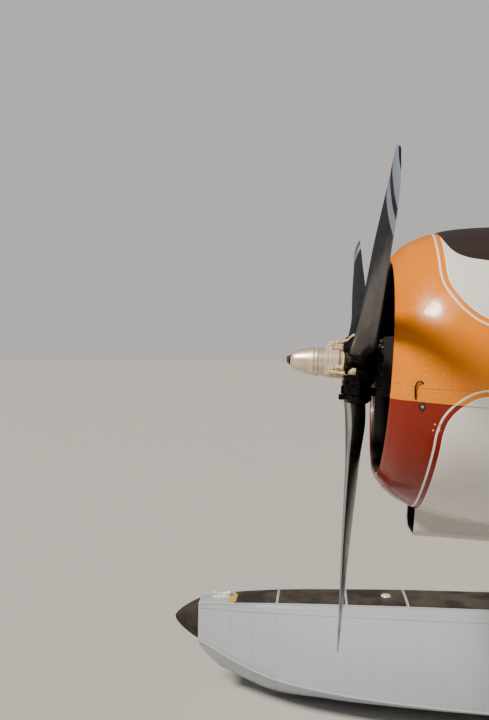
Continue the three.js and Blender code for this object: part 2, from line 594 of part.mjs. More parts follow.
addPiece(airframe, "engine", radialEngine(), FINISH.iron);
addPiece(airframe, "cowl_upper", cowlUpper, FINISH.orange);
addPiece(airframe, "cowl_lower", cowlLower, FINISH.orange);
addPiece(airframe, "intake_scoop", intakeScoop(), FINISH.white);
addPiece(airframe, "exhaust_pipe", exhaustPipe().subtract(radialEngine().translate([0, 0, -GAP])), FINISH.iron);
addPiece(airframe, "nose_section", noseSection, FINISH.white);
addPiece(airframe, "cabin_floor", cabinFloor, FINISH.white);
addPiece(airframe, "cabin_roof", cabinRoof, FINISH.white);
addPair(airframe, "cabin_side", portWall, FINISH.white);
addPair(airframe, "crew_door", crewDoor.subtract(crewWindowHole), FINISH.white);
addPair(airframe, "crew_door_glass", pane(outlineShape(insetPolygon(CREW_WINDOW, GAP))), FINISH.glass);
addPair(airframe, "cabin_door", cabinDoor.subtract(cabinWindowHole), FINISH.white);
addPair(airframe, "cabin_door_glass", pane(roundedShape(CABIN_WINDOW, GAP)), FINISH.glass);
addPair(airframe, "rear_window", pane(roundedShape(REAR_WINDOW, GAP)), FINISH.glass);
addPiece(airframe, "windscreen_frame", cutScreen(windscreenFrame()), FINISH.white);
addPiece(airframe, "windscreen_glass", cutScreen(windscreenGlass()), FINISH.glass);
addPiece(airframe, "instrument_panel", box(-570, 570, FIREWALL + GAP * 2, 1840, 230, 560), FINISH.black);
addPair(airframe, "crew_seat", seat(100, 530, 2120, 560), FINISH.seat);
addPiece(airframe, "cabin_bench", seat(-540, 540, 3100, 560), FINISH.seat);
addPiece(airframe, "rear_fuselage", rearFuselage(), FINISH.white);
addPiece(airframe, "fin", fin(), FINISH.white);
addPiece(airframe, "ventral_fin", ventralFin(), FINISH.white);
addPair(airframe, "tailplane", portTailplane(), FINISH.white);
const wing = portWing();
addPair(airframe, "wing", wing, FINISH.white);
const strutBody = streamBar(V(560, STRUT.y, STRUT.z - 43), V(STRUT.wingX, STRUT.y, STRUT.wingZ), STRUT.chord, STRUT.thick);
const strutTrim = strutBody.subtract(wing.translate([0, 0, -GAP])).subtract(box(0, HALF_WIDTH + GAP, 0, LENGTH, -WIDE, WIDE));
addPair(airframe, "wing_strut", strutTrim, FINISH.white);

const propeller = new THREE.Group();
airframe.add(propeller);
addPiece(propeller, "prop_hub", propHub(), FINISH.iron);
addPiece(propeller, "prop_dome", turned(DOME, 24), FINISH.metal);
BLADE_ANGLES.forEach((angle, i) => addPiece(propeller, "prop_blade_" + (i + 1), propBlade(angle), FINISH.blade));

addPair(airframe, "flap", trailingSurface(FLAP), FINISH.white);
addPair(airframe, "aileron", trailingSurface(AILERON), FINISH.white);
addPiece(airframe, "rudder", rudder(), FINISH.white);
addPair(airframe, "elevator", portElevator(), FINISH.white);

const undercarriage = new THREE.Group();
aircraft.add(undercarriage);
addPair(undercarriage, "float", portFloat, FINISH.hull);
addPair(undercarriage, "bow_bumper", bowBumper().translate([FLOAT_X, 0, 0]), FINISH.rubber);
addPair(undercarriage, "water_rudder", waterRudder().translate([FLOAT_X, 0, 0]), FINISH.metal);
const legs = portLegs();
addPair(undercarriage, "front_leg", legs.front, FINISH.white);
addPair(undercarriage, "rear_leg", legs.rear, FINISH.white);
addPiece(undercarriage, "front_spreader", spreader(FITTING.frontY), FINISH.white);
addPiece(undercarriage, "rear_spreader", spreader(FITTING.rearY), FINISH.white);

export default aircraft;
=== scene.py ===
"""A high-wing radial-engined bush floatplane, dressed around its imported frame.

Lengths are metres, +Z is up, the nose points towards -Y and the port side is +X. The aircraft stands with its
nose a few degrees up, so most shapes are given in the airframe's own directions: out to port, aft of the
propeller and above the thrust line. Floats and legs are given in the frame's directions.
"""

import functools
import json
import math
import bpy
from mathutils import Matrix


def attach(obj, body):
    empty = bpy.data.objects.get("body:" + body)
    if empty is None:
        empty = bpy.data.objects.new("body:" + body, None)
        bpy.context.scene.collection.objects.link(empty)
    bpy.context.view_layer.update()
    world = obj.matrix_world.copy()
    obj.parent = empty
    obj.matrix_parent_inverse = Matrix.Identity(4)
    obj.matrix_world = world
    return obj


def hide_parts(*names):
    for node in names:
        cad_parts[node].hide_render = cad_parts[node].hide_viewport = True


bl_info = {
    "name": "Floatplane",
    "version": (1, 0, 0),
    "blender": (4, 5, 0),
    "location": "View3D > Sidebar > Floatplane",
    "description": "Builds the skins, fittings and finishes of a radial-engined floatplane around its frame",
    "category": "Add Mesh",
}

import bmesh
import bpy
import mathutils
import numpy as np

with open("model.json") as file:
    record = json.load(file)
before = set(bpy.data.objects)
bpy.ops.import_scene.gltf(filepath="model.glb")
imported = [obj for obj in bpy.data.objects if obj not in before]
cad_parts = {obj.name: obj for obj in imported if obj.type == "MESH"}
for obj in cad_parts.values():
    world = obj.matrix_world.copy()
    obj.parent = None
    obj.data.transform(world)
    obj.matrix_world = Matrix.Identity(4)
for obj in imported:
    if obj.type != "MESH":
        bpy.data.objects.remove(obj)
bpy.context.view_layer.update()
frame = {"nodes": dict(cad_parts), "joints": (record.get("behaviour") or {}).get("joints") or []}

# The airframe's own directions, from the propeller's joint.
JOINTS = {joint["name"]: joint for joint in frame["joints"]}
HUB = np.array(JOINTS["propeller_spin"]["pos_m"])
AFT = -np.array(JOINTS["propeller_spin"]["axis"])
AXES = np.array([[1, 0, 0], AFT, np.cross([1, 0, 0], AFT)])

# Airframe sizes that several pieces share.
BLADE_ANGLES = np.radians([62.3, -57.7, 182.3])  # from straight up towards the port side
COWL_DROP = 0.008  # the cowl's axis below the thrust line
COWL_REACH = 0.096, 1.06  # its first and last stations
LOWER_SUNK = 0.0022  # the lower cowl's skin inside the upper cowl's
SMALL_RIVET, RIB_RIVET = 0.003, 0.0028  # radius of the heads on the body's skin, and along the tail's ribs
PAINT_EDGE = 0.0006  # half width of the edge between two paints
RIB_RADIUS, RIB_SUNK = 0.0042, 0.0022  # ribs that show under a moving surface's skin
TRAILING_EDGE = 0.004  # half thickness of a moving surface where it ends
COWL_OUTSIDE = [
    # radius, station
    [0.4525, 0.114],
    [0.4535, 0.1055],
    [0.4585, 0.0985],
    [0.466, 0.0955],
    [0.474, 0.0958],
    [0.481, 0.100],
    [0.489, 0.108],
    [0.526, 0.140],
    [0.565, 0.205],
    [0.599, 0.300],
    [0.619, 0.420],
    [0.630, 0.600],
    [0.616, 0.900],
    [0.600, 1.060],
]
COWL_INSIDE = [[0.452, 0.118], [0.47, 0.15], [0.54, 0.21], [0.58, 0.33], [0.606, 0.6], [0.584, 1.06]]
NOSE_FRAMES = [
    # station, half width, top, bottom, corner radius
    [1.000, 0.545, 0.545, -0.545, 0.530],
    [1.130, 0.585, 0.580, -0.590, 0.560],
    [1.450, 0.628, 0.606, -0.645, 0.260],
    [1.750, 0.640, 0.606, -0.660, 0.110],
]


# Shapes: whole arrays of points and four-sided faces.


def unit(vectors):
    """Each vector divided by its own length."""
    return vectors / np.linalg.norm(vectors, axis=-1, keepdims=True)


def place(points):
    """Turns points from the airframe's directions to the frame's: the hub plus each distance on its axis."""
    return HUB + np.asarray(points, float) @ AXES


class Form:
    """Points, four-sided faces and the number of the finish, of one closed surface or several alike."""

    def __init__(self, points, faces, finish=0):
        self.points = np.asarray(points, float).reshape(-1, 3)
        self.faces = faces
        self.finish = finish


def outward(points, faces, finish):
    """A form whose faces point out: they are turned over where the sum of their corner solids is negative."""
    points = points.reshape(-1, 3)
    a, b, c, d = (points[faces[:, k]] for k in range(4))
    volume = np.sum(a * np.cross(b, c)) + np.sum(a * np.cross(c, d))
    return Form(points, faces if volume > 0 else faces[:, ::-1], finish)


def grid_faces(number, wrap_rows=False, wrap_columns=False):
    """Faces between neighbours of a grid of point numbers, the last row or column joined to the first."""
    if wrap_rows:
        number = np.concatenate([number, number[:1]])
    if wrap_columns:
        number = np.concatenate([number, number[:, :1]], 1)
    corners = [number[:-1, :-1], number[:-1, 1:], number[1:, 1:], number[1:, :-1]]
    return np.stack(corners, -1).reshape(-1, 4)


def skin(rows, ring=False, finish=0):
    """A closed skin over rows of points that each go once around. ring joins the last row to the first."""
    number = np.arange(rows.shape[0] * rows.shape[1]).reshape(rows.shape[:2])
    return outward(rows, grid_faces(number, ring, True), finish)


def capped(rows, finish=0):
    """A skin with both ends filled: the first and last rows shrink to their middles."""
    ends = [np.broadcast_to(row.mean(0), row.shape)[None] for row in (rows[0], rows[-1])]
    return skin(np.concatenate([ends[0], rows, ends[1]]), finish=finish)


def shell(outer, inner, finish=0):
    """A closed wall between two grids of one size: both faces, and a strip along the four edges."""
    count = outer.shape[0] * outer.shape[1]
    number = np.arange(count).reshape(outer.shape[:2])
    face = grid_faces(number)
    rim = np.concatenate([number[0], number[1:, -1], number[-1, -2::-1], number[-2:0:-1, 0]])
    after = np.roll(rim, -1)
    strip = np.stack([after, rim, rim + count, after + count], -1)
    faces = np.concatenate([face, face[:, ::-1] + count, strip])
    return outward(np.concatenate([outer.reshape(-1, 3), inner.reshape(-1, 3)]), faces, finish)


def through(knots, values, at):
    """A smooth line through a table: cubics between rows, their slopes taken from the rows on both sides."""
    knots, values, at = (np.asarray(part, float) for part in (knots, values, at))
    slopes = np.gradient(values, knots, axis=0)
    i = np.clip(np.searchsorted(knots, at, side="right") - 1, 0, len(knots) - 2)
    wide = (-1,) + (1,) * (values.ndim - 1)
    span = (knots[i + 1] - knots[i]).reshape(wide)
    u = (at - knots[i]).reshape(wide) / span
    low = (2 * u**3 - 3 * u**2 + 1) * values[i] + (u**3 - 2 * u**2 + u) * span * slopes[i]
    return low + (3 * u**2 - 2 * u**3) * values[i + 1] + (u**3 - u**2) * span * slopes[i + 1]


def lengths(points):
    """Distance along a path to each of its points."""
    return np.concatenate([[0], np.cumsum(np.linalg.norm(np.diff(points, axis=0), axis=1))])


def curve(points, count):
    """A smooth path through given points, with count places spaced evenly along it."""
    points = np.asarray(points, float)
    along = lengths(points)
    return through(along, points, np.linspace(0, along[-1], count))


def eased(outline, radius, closed=False):
    """An outline with every corner cut back by a radius and rounded, three points standing for one."""
    p = np.asarray(outline, float)
    back, ahead = np.roll(p, 1, 0) - p, np.roll(p, -1, 0) - p
    back_length = np.linalg.norm(back, axis=1, keepdims=True) + 1e-9
    ahead_length = np.linalg.norm(ahead, axis=1, keepdims=True) + 1e-9
    first = p + back * np.minimum(radius / back_length, 0.45)
    last = p + ahead * np.minimum(radius / ahead_length, 0.45)
    rounded = np.stack([first, 0.25 * first + 0.5 * p + 0.25 * last, last], 1).reshape(-1, 2)
    return rounded if closed else np.concatenate([p[:1], rounded[3:-3], p[-1:]])


def inset(outline, distance):
    """A closed outline moved inwards: each point goes along the mean of the normals of its two sides."""
    p = np.asarray(outline, float)
    side = unit(np.roll(p, -1, 0) - p)
    normal = np.stack([-side[:, 1], side[:, 0]], 1)
    mean = unit(normal + np.roll(normal, 1, 0))
    area = np.sum(p[:, 0] * np.roll(p[:, 1], -1) - p[:, 1] * np.roll(p[:, 0], -1))
    return p + mean * distance * np.sign(area)


def rounded_box(low, high, radius, steps=4):
    """A rectangle's outline with corners as quarter circles, steps to each."""
    (a, b), (c, d) = low, high
    turn = np.radians(np.linspace(0, 90, steps + 1))
    centres = np.array([
        [c - radius, d - radius], [a + radius, d - radius], [a + radius, b + radius],
        [c - radius, b + radius],
    ])
    angle = turn[None] + np.radians([0, 90, 180, 270])[:, None]
    arc = np.stack([np.cos(angle), np.sin(angle)], -1) * radius
    return (centres[:, None] + arc).reshape(-1, 2)


def eased_box(low, high, radius):
    """A rectangle's outline from its low corner to its high one, the corners eased by a radius."""
    (a, b), (c, d) = low, high
    return eased([[a, b], [c, b], [c, d], [a, d]], radius, True)


AXIS_ORDER = {"x": [2, 0, 1], "y": [1, 2, 0], "z": [0, 1, 2]}


def slab(outline, low, high, edge=0.0, axis="z", finish=0):
    """A plate: an outline between two places along an axis, its rims eased, given as the next two axes."""
    outline = np.asarray(outline, float)
    levels = [(low, 0), (high, 0)]
    if edge:
        levels = [(low, edge), (low + edge, 0), (high - edge, 0), (high, edge)]
    rows = [np.column_stack([inset(outline, cut), np.full(len(outline), at)]) for at, cut in levels]
    return capped(np.array(rows)[:, :, AXIS_ORDER[axis]], finish)


def lathe(profile, sides=48, axis="y", ring=False, finish=0):
    """A turned body: a profile of radius and distance along an axis, carried once around it."""
    profile = np.asarray(profile, float)
    around = np.linspace(0, 2 * math.pi, sides, endpoint=False)
    radius, along = profile[:, :1], profile[:, 1:]
    rows = [radius * np.cos(around), radius * np.sin(around), along + 0 * around]
    return skin(np.stack(rows, -1)[:, :, AXIS_ORDER[axis]], ring, finish)


def bar_rows(path, radius, sides=10):
    """Circles along a path, each square to it."""
    path = np.asarray(path, float)
    ahead = unit(np.gradient(path, axis=0))
    aside = unit(np.cross(ahead, np.eye(3)[np.argmin(np.abs(path[-1] - path[0]))]))
    above = np.cross(aside, ahead)
    around = np.linspace(0, 2 * math.pi, sides, endpoint=False)[None, :, None]
    circle = np.cos(around) * aside[:, None] + np.sin(around) * above[:, None]
    return path[:, None] + np.reshape(radius, (-1, 1, 1)) * circle


def tube(path, radius, sides=10, finish=0):
    """A round bar along a path, with both ends filled."""
    return capped(bar_rows(path, radius, sides), finish)


def facing(normals, along=(0, 1, 0)):
    """Turns that stand a form's third axis on each normal and lay its first axis near a direction."""
    normals = unit(np.atleast_2d(np.asarray(normals, float)))
    along = np.asarray(along, float)
    first = unit(along - np.sum(along * normals, -1, keepdims=True) * normals)
    return np.stack([first, np.cross(normals, first), normals], -2)


def about_aft(angles):
    """Turns about the thrust axis that carry what stands straight up towards the port side."""
    angles = np.atleast_1d(angles)
    c, s, o = np.cos(angles), np.sin(angles), 0 * angles
    return np.stack([np.stack([c, o, -s], -1), np.stack([o, o + 1, o], -1), np.stack([s, o, c], -1)], -2)


def around_axis(radius, angles, aft=0.0):
    """Places on a circle about the thrust axis: radius times sine to port and cosine up, at one station."""
    return np.stack([radius * np.sin(angles), np.full(len(angles), aft), radius * np.cos(angles)], -1)


def copies(form, places=((0, 0, 0),), turns=None):
    """One form repeated: its points times each turn, plus each place, all in one array."""
    places = np.atleast_2d(np.asarray(places, float))
    turns = np.eye(3)[None] if turns is None else turns
    points = form.points @ turns + places[:, None]
    starts = np.arange(len(points))[:, None, None] * len(form.points)
    return Form(points, (form.faces[None] + starts).reshape(-1, 4), form.finish)


def mirrored(forms):
    """The same forms on the other side: x changes sign and the faces are turned over."""
    return [Form(form.points * [-1, 1, 1], form.faces[:, ::-1], form.finish) for form in forms]


def stud(radius, height, sides=8, finish=0):
    """A rivet's head: a low dome on its own flat base."""
    return lathe([
        [0, -height], [radius, -height], [0.7 * radius, 0.75 * height], [0, height]
    ], sides, "z", finish=finish)


def hexagon_bolt(across, height, finish=0):
    """A bolt's head: a hexagon with a chamfered top, over a round washer."""
    corner = across / math.sqrt(3)
    head = lathe([
        [0, 0], [corner, 0], [corner, 0.8 * height], [0.8 * corner, height], [0, height]
    ], 6, "z", finish=finish)
    washer = lathe([
        [0, -0.001], [0.68 * across, -0.001], [0.68 * across, 0.0015], [0, 0.0015]
    ], 16, "z", finish=finish)
    return joined([head, washer])


def joined(forms):
    """Forms of one finish as a single form."""
    starts = np.cumsum([0] + [len(form.points) for form in forms[:-1]])
    faces = np.concatenate([form.faces + start for form, start in zip(forms, starts)])
    return Form(np.concatenate([form.points for form in forms]), faces, forms[0].finish)


def piece(
    name, forms, finishes, body, stands_for=(), slot="white_enamel", crease=32, marks=None, level=False
):
    """Makes one mesh object from forms: seams and poles welded, smooth up to a crease angle, on its body.

    marks are functions of the airframe's directions that give a number to each point. level says that the
    forms are already in the frame's directions.
    """
    starts = np.cumsum([0] + [len(form.points) for form in forms[:-1]])
    points = np.concatenate([form.points for form in forms])
    faces = np.concatenate([form.faces + start for form, start in zip(forms, starts)])
    mesh = bpy.data.meshes.new(name)
    mesh.vertices.add(len(points))
    mesh.vertices.foreach_set("co", (points if level else place(points)).ravel())
    mesh.loops.add(faces.size)
    mesh.loops.foreach_set("vertex_index", faces.ravel().astype(np.int32))
    mesh.polygons.add(len(faces))
    mesh.polygons.foreach_set("loop_start", np.arange(0, faces.size, 4, dtype=np.int32))
    mesh.polygons.foreach_set(
        "material_index",
        np.repeat([form.finish for form in forms], [len(form.faces) for form in forms]).astype(np.int32),
    )
    mesh.update(calc_edges=True)
    weld(mesh)
    for finish in finishes:
        mesh.materials.append(finish)
    mesh.shade_smooth()
    mesh.set_sharp_from_angle(angle=math.radians(crease))
    for mark, measure in (marks or {}).items():
        where = np.empty(len(mesh.vertices) * 3)
        mesh.vertices.foreach_get("co", where)
        where = where.reshape(-1, 3)
        values = measure(where if level else (where - HUB) @ AXES.T)
        mesh.attributes.new(mark, "FLOAT", "POINT").data.foreach_set("value", values.astype(np.float32))
    made = bpy.data.objects.new(name, mesh)
    bpy.context.scene.collection.objects.link(made)
    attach(made, body)
    if stands_for:
        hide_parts(*stands_for)
    return made


def weld(mesh, reach=1e-5):
    """Joins points that lie together, which closes seams and poles and drops faces with no area."""
    work = bmesh.new()
    work.from_mesh(mesh)
    bmesh.ops.remove_doubles(work, verts=work.verts, dist=reach)
    bmesh.ops.dissolve_degenerate(work, edges=work.edges, dist=1e-7)
    work.to_mesh(mesh)
    work.free()


# Finishes.


def linear(code):
    """An sRGB hex value as linear red, green, blue and alpha."""
    channels = np.array([code >> 16 & 255, code >> 8 & 255, code & 255]) / 255
    values = np.where(channels <= 0.04045, channels / 12.92, ((channels + 0.055) / 1.055) ** 2.4)
    return (*values.tolist(), 1.0)


def put(tree, kind, sockets=None, out=0, **settings):
    """Adds a shader node with its settings, sets or links its sockets, and gives one of its outputs."""
    node = tree.nodes.new("ShaderNode" + kind)
    for name, value in settings.items():
        setattr(node, name, value)
    for name, value in (sockets or {}).items():
        if isinstance(value, bpy.types.NodeSocket):
            tree.links.new(value, node.inputs[name])
        else:
            node.inputs[name].default_value = value
    return node.outputs[out]


def begin(name, **sockets):
    """A new material: its tree, its Principled shader with constants set, and the object's coordinates."""
    made = bpy.data.materials.new(name)
    made.use_nodes = True
    shader = made.node_tree.nodes["Principled BSDF"]
    for socket, value in sockets.items():
        shader.inputs[socket.replace("_", " ").title().replace("Ior", "IOR")].default_value = value
    return made, made.node_tree, shader, put(made.node_tree, "TexCoord", out="Object")


def patches(tree, where, size, low=0.4, high=0.6, detail=3.0):
    """Soft patches of about a size in metres, from 0 to 1: the middle of a noise's range stretched out."""
    noise = put(tree, "TexNoise", {"Vector": where, "Scale": 1 / size, "Detail": detail})
    return put(tree, "MapRange", {"Value": noise, "From Min": low, "From Max": high})


def dull(tree, shader, factor, bright, worn):
    """Joins a factor to the shader's roughness, from one value to another."""
    rough = put(tree, "MapRange", {"Value": factor, "To Min": bright, "To Max": worn})
    tree.links.new(rough, shader.inputs["Roughness"])


def relief(tree, shader, *layers):
    """Stacks bumps of a height socket, a strength and a depth in metres on the shader's normal."""
    normal = None
    for height, strength, depth in layers:
        sockets = {"Height": height, "Strength": strength, "Distance": depth}
        if normal is not None:
            sockets["Normal"] = normal
        normal = put(tree, "Bump", sockets)
    tree.links.new(normal, shader.inputs["Normal"])


def stained(tree, shader, where, clean, dirt, size, amount):
    """Joins a base colour that turns to a dirtier one in soft patches, up to an amount."""
    patch = put(tree, "Math", {0: patches(tree, where, size), 1: amount}, operation="MULTIPLY")
    colour = put(tree, "Mix", {0: patch, 6: clean, 7: dirt}, out=2, data_type="RGBA")
    tree.links.new(colour, shader.inputs["Base Color"])
    return patch


def enamel_coats(name, orange, trim, glare):
    """Two-part aircraft enamel over aluminium: a wet gloss with a faint ripple, dulled a little in patches.

    The ripple is 6 mm across, coarser than a real coat's, so that it shows. trim and glare make a socket
    from the tree and coordinates: metres inside the orange and inside the black.
    """
    made, tree, shader, where = begin(name, coat_weight=0.22, coat_roughness=0.05, specular_ior_level=0.3)
    edge = trim(tree, where)
    inside = put(tree, "MapRange", {"Value": edge, "From Min": -PAINT_EDGE, "From Max": PAINT_EDGE})
    half = sizes().stripe_width / 2
    stripe = put(tree, "Math", {0: edge, 1: sizes().stripe_from + half, 2: half}, operation="COMPARE")
    colour = put(
        tree, "Mix", {0: inside, 6: tuple(paints().white), 7: tuple(orange)}, out=2, data_type="RGBA"
    )
    colour = put(tree, "Mix", {0: stripe, 6: colour, 7: linear(0xF6F2EC)}, out=2, data_type="RGBA")
    bright_line = put(tree, "Math", {0: edge, 1: -0.0022, 2: 0.0020}, operation="COMPARE")
    colour = put(tree, "Mix", {0: bright_line, 6: colour, 7: linear(0xFFFDF8)}, out=2, data_type="RGBA")
    black = put(
        tree, "MapRange", {"Value": glare(tree, where), "From Min": -PAINT_EDGE, "From Max": PAINT_EDGE}
    )
    colour = put(
        tree, "Mix", {0: black, 6: colour, 7: tuple(paints().glare_black_and_painted_shade)}, out=2, data_type="RGBA"
    )
    grime = put(tree, "Math", {0: patches(tree, where, 0.16, 0.5, 0.8), 1: 0.04}, operation="MULTIPLY")
    colour = put(tree, "Mix", {0: grime, 6: colour, 7: linear(0x8A6A48)}, out=2, data_type="RGBA")
    tree.links.new(colour, shader.inputs["Base Color"])
    worn = put(tree, "Math", {0: patches(tree, where, 0.05), 1: black}, operation="MAXIMUM")
    dull(tree, shader, worn, 0.20, 0.34)
    ripple = put(tree, "TexNoise", {"Vector": where, "Scale": 1 / 0.006, "Detail": 1.0})
    dent = put(tree, "TexNoise", {"Vector": where, "Scale": 1 / 0.22, "Detail": 1.0})
    relief(tree, shader, (ripple, 0.10, 0.0006), (dent, 0.25, 0.004))
    return made


def marked(name):
    """A measure that a piece's own points carry, as a socket."""
    return lambda tree, where: put(tree, "Attribute", out="Fac", attribute_name=name)


@functools.cache
def cowl_enamel():
    """Orange enamel on the upper cowl: a wet gloss, dull black over its top, and a thin white stripe."""
    return enamel_coats("cowl_enamel", paints().orange, marked("trim"), marked("glare"))


@functools.cache
def painted_shade_lower_cowl_enamel():
    """The lower cowl's enamel: the same gloss on a redder, darker orange, which is painted shade for the
    cowl's underside.
    """
    return enamel_coats("painted_shade_lower_cowl_enamel", paints().painted_shade_orange, marked("trim"), marked("glare"))


# The orange band along the body: station, middle height, half width.
BAND = [
    [0.36, 0.064, 0.13], [1.0, 0.04, 0.075], [1.75, 0.045, 0.06], [4.45, 0.075, 0.06], [8.1, 0.3, 0.045]
]
GLARE_HEIGHT, GLARE_END = 0.442, 1.75  # the black is above the one and ahead of the other


def airframe_part(tree, where, axis):
    """How far a place is from the hub along one of the airframe's axes, from the object's coordinates."""
    direction = AXES[axis]
    along = put(tree, "VectorMath", {0: where, 1: direction.tolist()}, out="Value", operation="DOT_PRODUCT")
    return put(tree, "Math", {0: along, 1: float(HUB @ direction)}, operation="SUBTRACT")


def band_trim(tree, where):
    """Metres inside the band: its half width less the height above its middle, both by straight stretches."""
    aft, height = airframe_part(tree, where, 1), airframe_part(tree, where, 2)
    middle, half = BAND[0][1], BAND[0][2]
    sums = [middle, half]
    for before, after in zip(BAND, BAND[1:]):
        for k in (0, 1):
            rise = {
                "Value": aft, "From Min": before[0], "From Max": after[0],
                "To Max": after[k + 1] - before[k + 1],
            }
            sums[k] = put(tree, "Math", {0: put(tree, "MapRange", rise), 1: sums[k]}, operation="ADD")
    off = put(tree, "Math", {0: height, 1: sums[0]}, operation="SUBTRACT")
    away = put(tree, "Math", {0: off}, operation="ABSOLUTE")
    inside = put(tree, "Math", {0: sums[1], 1: away}, operation="SUBTRACT")
    # The cabin's lining has no band: between the nose and the tail it stays on the walls' outer faces.
    across = put(tree, "Math", {0: airframe_part(tree, where, 0)}, operation="ABSOLUTE")
    taper = {
        "Value": aft, "From Min": CABIN_FRAMES[1][0], "From Max": CABIN_FRAMES[2][0],
        "To Max": HALF_WIDTH - CABIN_FRAMES[2][1],
    }
    across = put(tree, "Math", {0: across, 1: put(tree, "MapRange", taper)}, operation="ADD")
    outer = put(tree, "Math", {0: across, 1: 3.0, 2: -3.0 * (HALF_WIDTH - 0.020)}, operation="MULTIPLY_ADD")
    ahead = put(tree, "Math", {0: CABIN_FRAMES[0][0] - 0.004, 1: aft}, operation="SUBTRACT")
    behind = put(tree, "Math", {0: aft, 1: TAIL_FRAMES[0][0]}, operation="SUBTRACT")
    elsewhere = put(tree, "Math", {0: ahead, 1: behind}, operation="MAXIMUM")
    limit = put(tree, "Math", {0: outer, 1: elsewhere}, operation="MAXIMUM")
    return put(tree, "Math", {0: inside, 1: limit}, operation="MINIMUM")


def top_glare(tree, where):
    """Metres inside the black on top of the nose: above a height, and ahead of the windscreen."""
    aft, height = airframe_part(tree, where, 1), airframe_part(tree, where, 2)
    above = put(tree, "Math", {0: height, 1: GLARE_HEIGHT}, operation="SUBTRACT")
    ahead = put(tree, "Math", {0: GLARE_END, 1: aft}, operation="SUBTRACT")
    return put(tree, "Math", {0: above, 1: ahead}, operation="MINIMUM")


@functools.cache
def body_enamel():
    """White enamel with the orange band along the body, its edges as sharp as masked paint."""
    return enamel_coats("body_enamel", paints().orange, band_trim, top_glare)


@functools.cache
def white_enamel():
    """Gloss white over aluminium sheet, a little chalky and stained, its 7 mm ripple coarser than real."""
    made, tree, shader, where = begin("white_enamel", coat_weight=0.3, coat_roughness=0.1)
    patch = stained(tree, shader, where, tuple(paints().white), linear(0xB9AE9E), 0.3, 0.35)
    dull(tree, shader, patch, 0.24, 0.42)
    ripple = put(tree, "TexNoise", {"Vector": where, "Scale": 1 / 0.007, "Detail": 1.0})
    dent = put(tree, "TexNoise", {"Vector": where, "Scale": 1 / 0.3, "Detail": 1.0})
    relief(tree, shader, (ripple, 0.08, 0.0006), (dent, 0.3, 0.004))
    return made


@functools.cache
def blade_paint():
    """Forged aluminium under satin grey-black paint: spray has worn the leading edge to bare metal."""
    made, tree, shader, where = begin("blade_paint", coat_weight=0.15, coat_roughness=0.2)
    span = put(tree, "Attribute", out="Fac", attribute_name="span")
    chord = put(tree, "Attribute", out="Fac", attribute_name="chord")
    slant = put(tree, "Math", {0: chord, 1: TIP_SLANT, 2: span}, operation="MULTIPLY_ADD")
    base = stained(tree, shader, where, tuple(paints().blade), linear(0x302C28), 0.04, 0.6)
    fine = put(tree, "TexNoise", {"Vector": where, "Scale": 1 / 0.003, "Detail": 2.0})
    colour = put(
        tree, "Mix", {0: base, 6: tuple(paints().blade), 7: linear(0x2E2C2A)}, out=2, data_type="RGBA"
    )
    # The bands are real, but their blue-grey is painted shade over light grey-white paint.
    for middle, half in TIP_BANDS:
        stripe = put(tree, "Math", {0: slant, 1: middle, 2: half}, operation="COMPARE")
        colour = put(tree, "Mix", {0: stripe, 6: colour, 7: tuple(paints().band)}, out=2, data_type="RGBA")
    ragged = put(tree, "Math", {0: fine, 1: 0.05, 2: chord}, operation="MULTIPLY_ADD")
    bare = put(tree, "MapRange", {"Value": ragged, "From Min": 0.055, "From Max": 0.035})
    colour = put(tree, "Mix", {0: bare, 6: colour, 7: linear(0xB8BBBD)}, out=2, data_type="RGBA")
    tree.links.new(colour, shader.inputs["Base Color"])
    tree.links.new(bare, shader.inputs["Metallic"])
    dull(tree, shader, base, 0.28, 0.42)
    relief(tree, shader, (fine, 0.15, 0.0003))
    return made


TIP_SLANT = 0.05  # how far a tip band runs along the blade from edge to edge
TIP_BANDS = [[1.262, 0.050], [1.130, 0.036]]  # middle and half width, from the hub


def turned_metal(name, colour, rough, worn, rings=0.0012, metallic=1.0):
    """Metal turned on a lathe: rings about the thrust axis, coarser than a tool's so that they show, and a
    skin dulled in patches."""
    made, tree, shader, where = begin(name, metallic=metallic)
    patch = stained(tree, shader, where, linear(colour), linear(worn), 0.03, 0.5)
    dull(tree, shader, patch, rough, rough + 0.16)
    aft = airframe_part(tree, where, 1)
    ringed = put(
        tree, "TexNoise", {"Vector": put(tree, "CombineXYZ", {0: aft}), "Scale": 1 / rings, "Detail": 0.0}
    )
    relief(tree, shader, (ringed, 0.12, 0.0003))
    return made


@functools.cache
def dome_aluminium():
    """Spun aluminium: a pale, broad shine that the tool's rings draw out around the dome."""
    return turned_metal("dome_aluminium", 0xF4E2CE, 0.34, 0xD8C2A8, metallic=0.65)


@functools.cache
def collar_aluminium():
    """Turned aluminium, paler and less polished than the dome."""
    return turned_metal("collar_aluminium", 0xF6EAD8, 0.36, 0xDCC8A8, metallic=0.5)


@functools.cache
def brass():
    """Turned brass: a yellow shine, browned in patches."""
    return turned_metal("brass", 0xC79A4B, 0.28, 0x7C5A28)


def plain_metal(name, colour, worn, rough, size=0.02, metallic=1.0):
    """Cast, forged or plated metal: uneven tone and gloss, and a grain of 1.5 mm, coarse enough to show."""
    made, tree, shader, where = begin(name, metallic=metallic)
    patch = stained(tree, shader, where, linear(colour), linear(worn), size, 0.8)
    dull(tree, shader, patch, rough, rough + 0.2)
    grain = put(tree, "TexNoise", {"Vector": where, "Scale": 1 / 0.0015, "Detail": 3.0})
    relief(tree, shader, (grain, 0.2, 0.0002))
    return made


@functools.cache
def blackened_steel():
    """Forged steel with a black oxide skin: dark, with a low uneven sheen."""
    return plain_metal("blackened_steel", 0x2E2C2A, 0x151412, 0.38)


@functools.cache
def plated_steel():
    """Cadmium plate on steel: dull silver with a yellow-grey bloom."""
    return plain_metal("plated_steel", 0xB7B2A6, 0x7D766A, 0.3)


@functools.cache
def cream_enamel():
    """Baked cream enamel on forged links: soft gloss, yellowed and chipped a little."""
    return plain_metal("cream_enamel", 0xE9DCC0, 0xB8935A, 0.35, 0.012, 0.0)


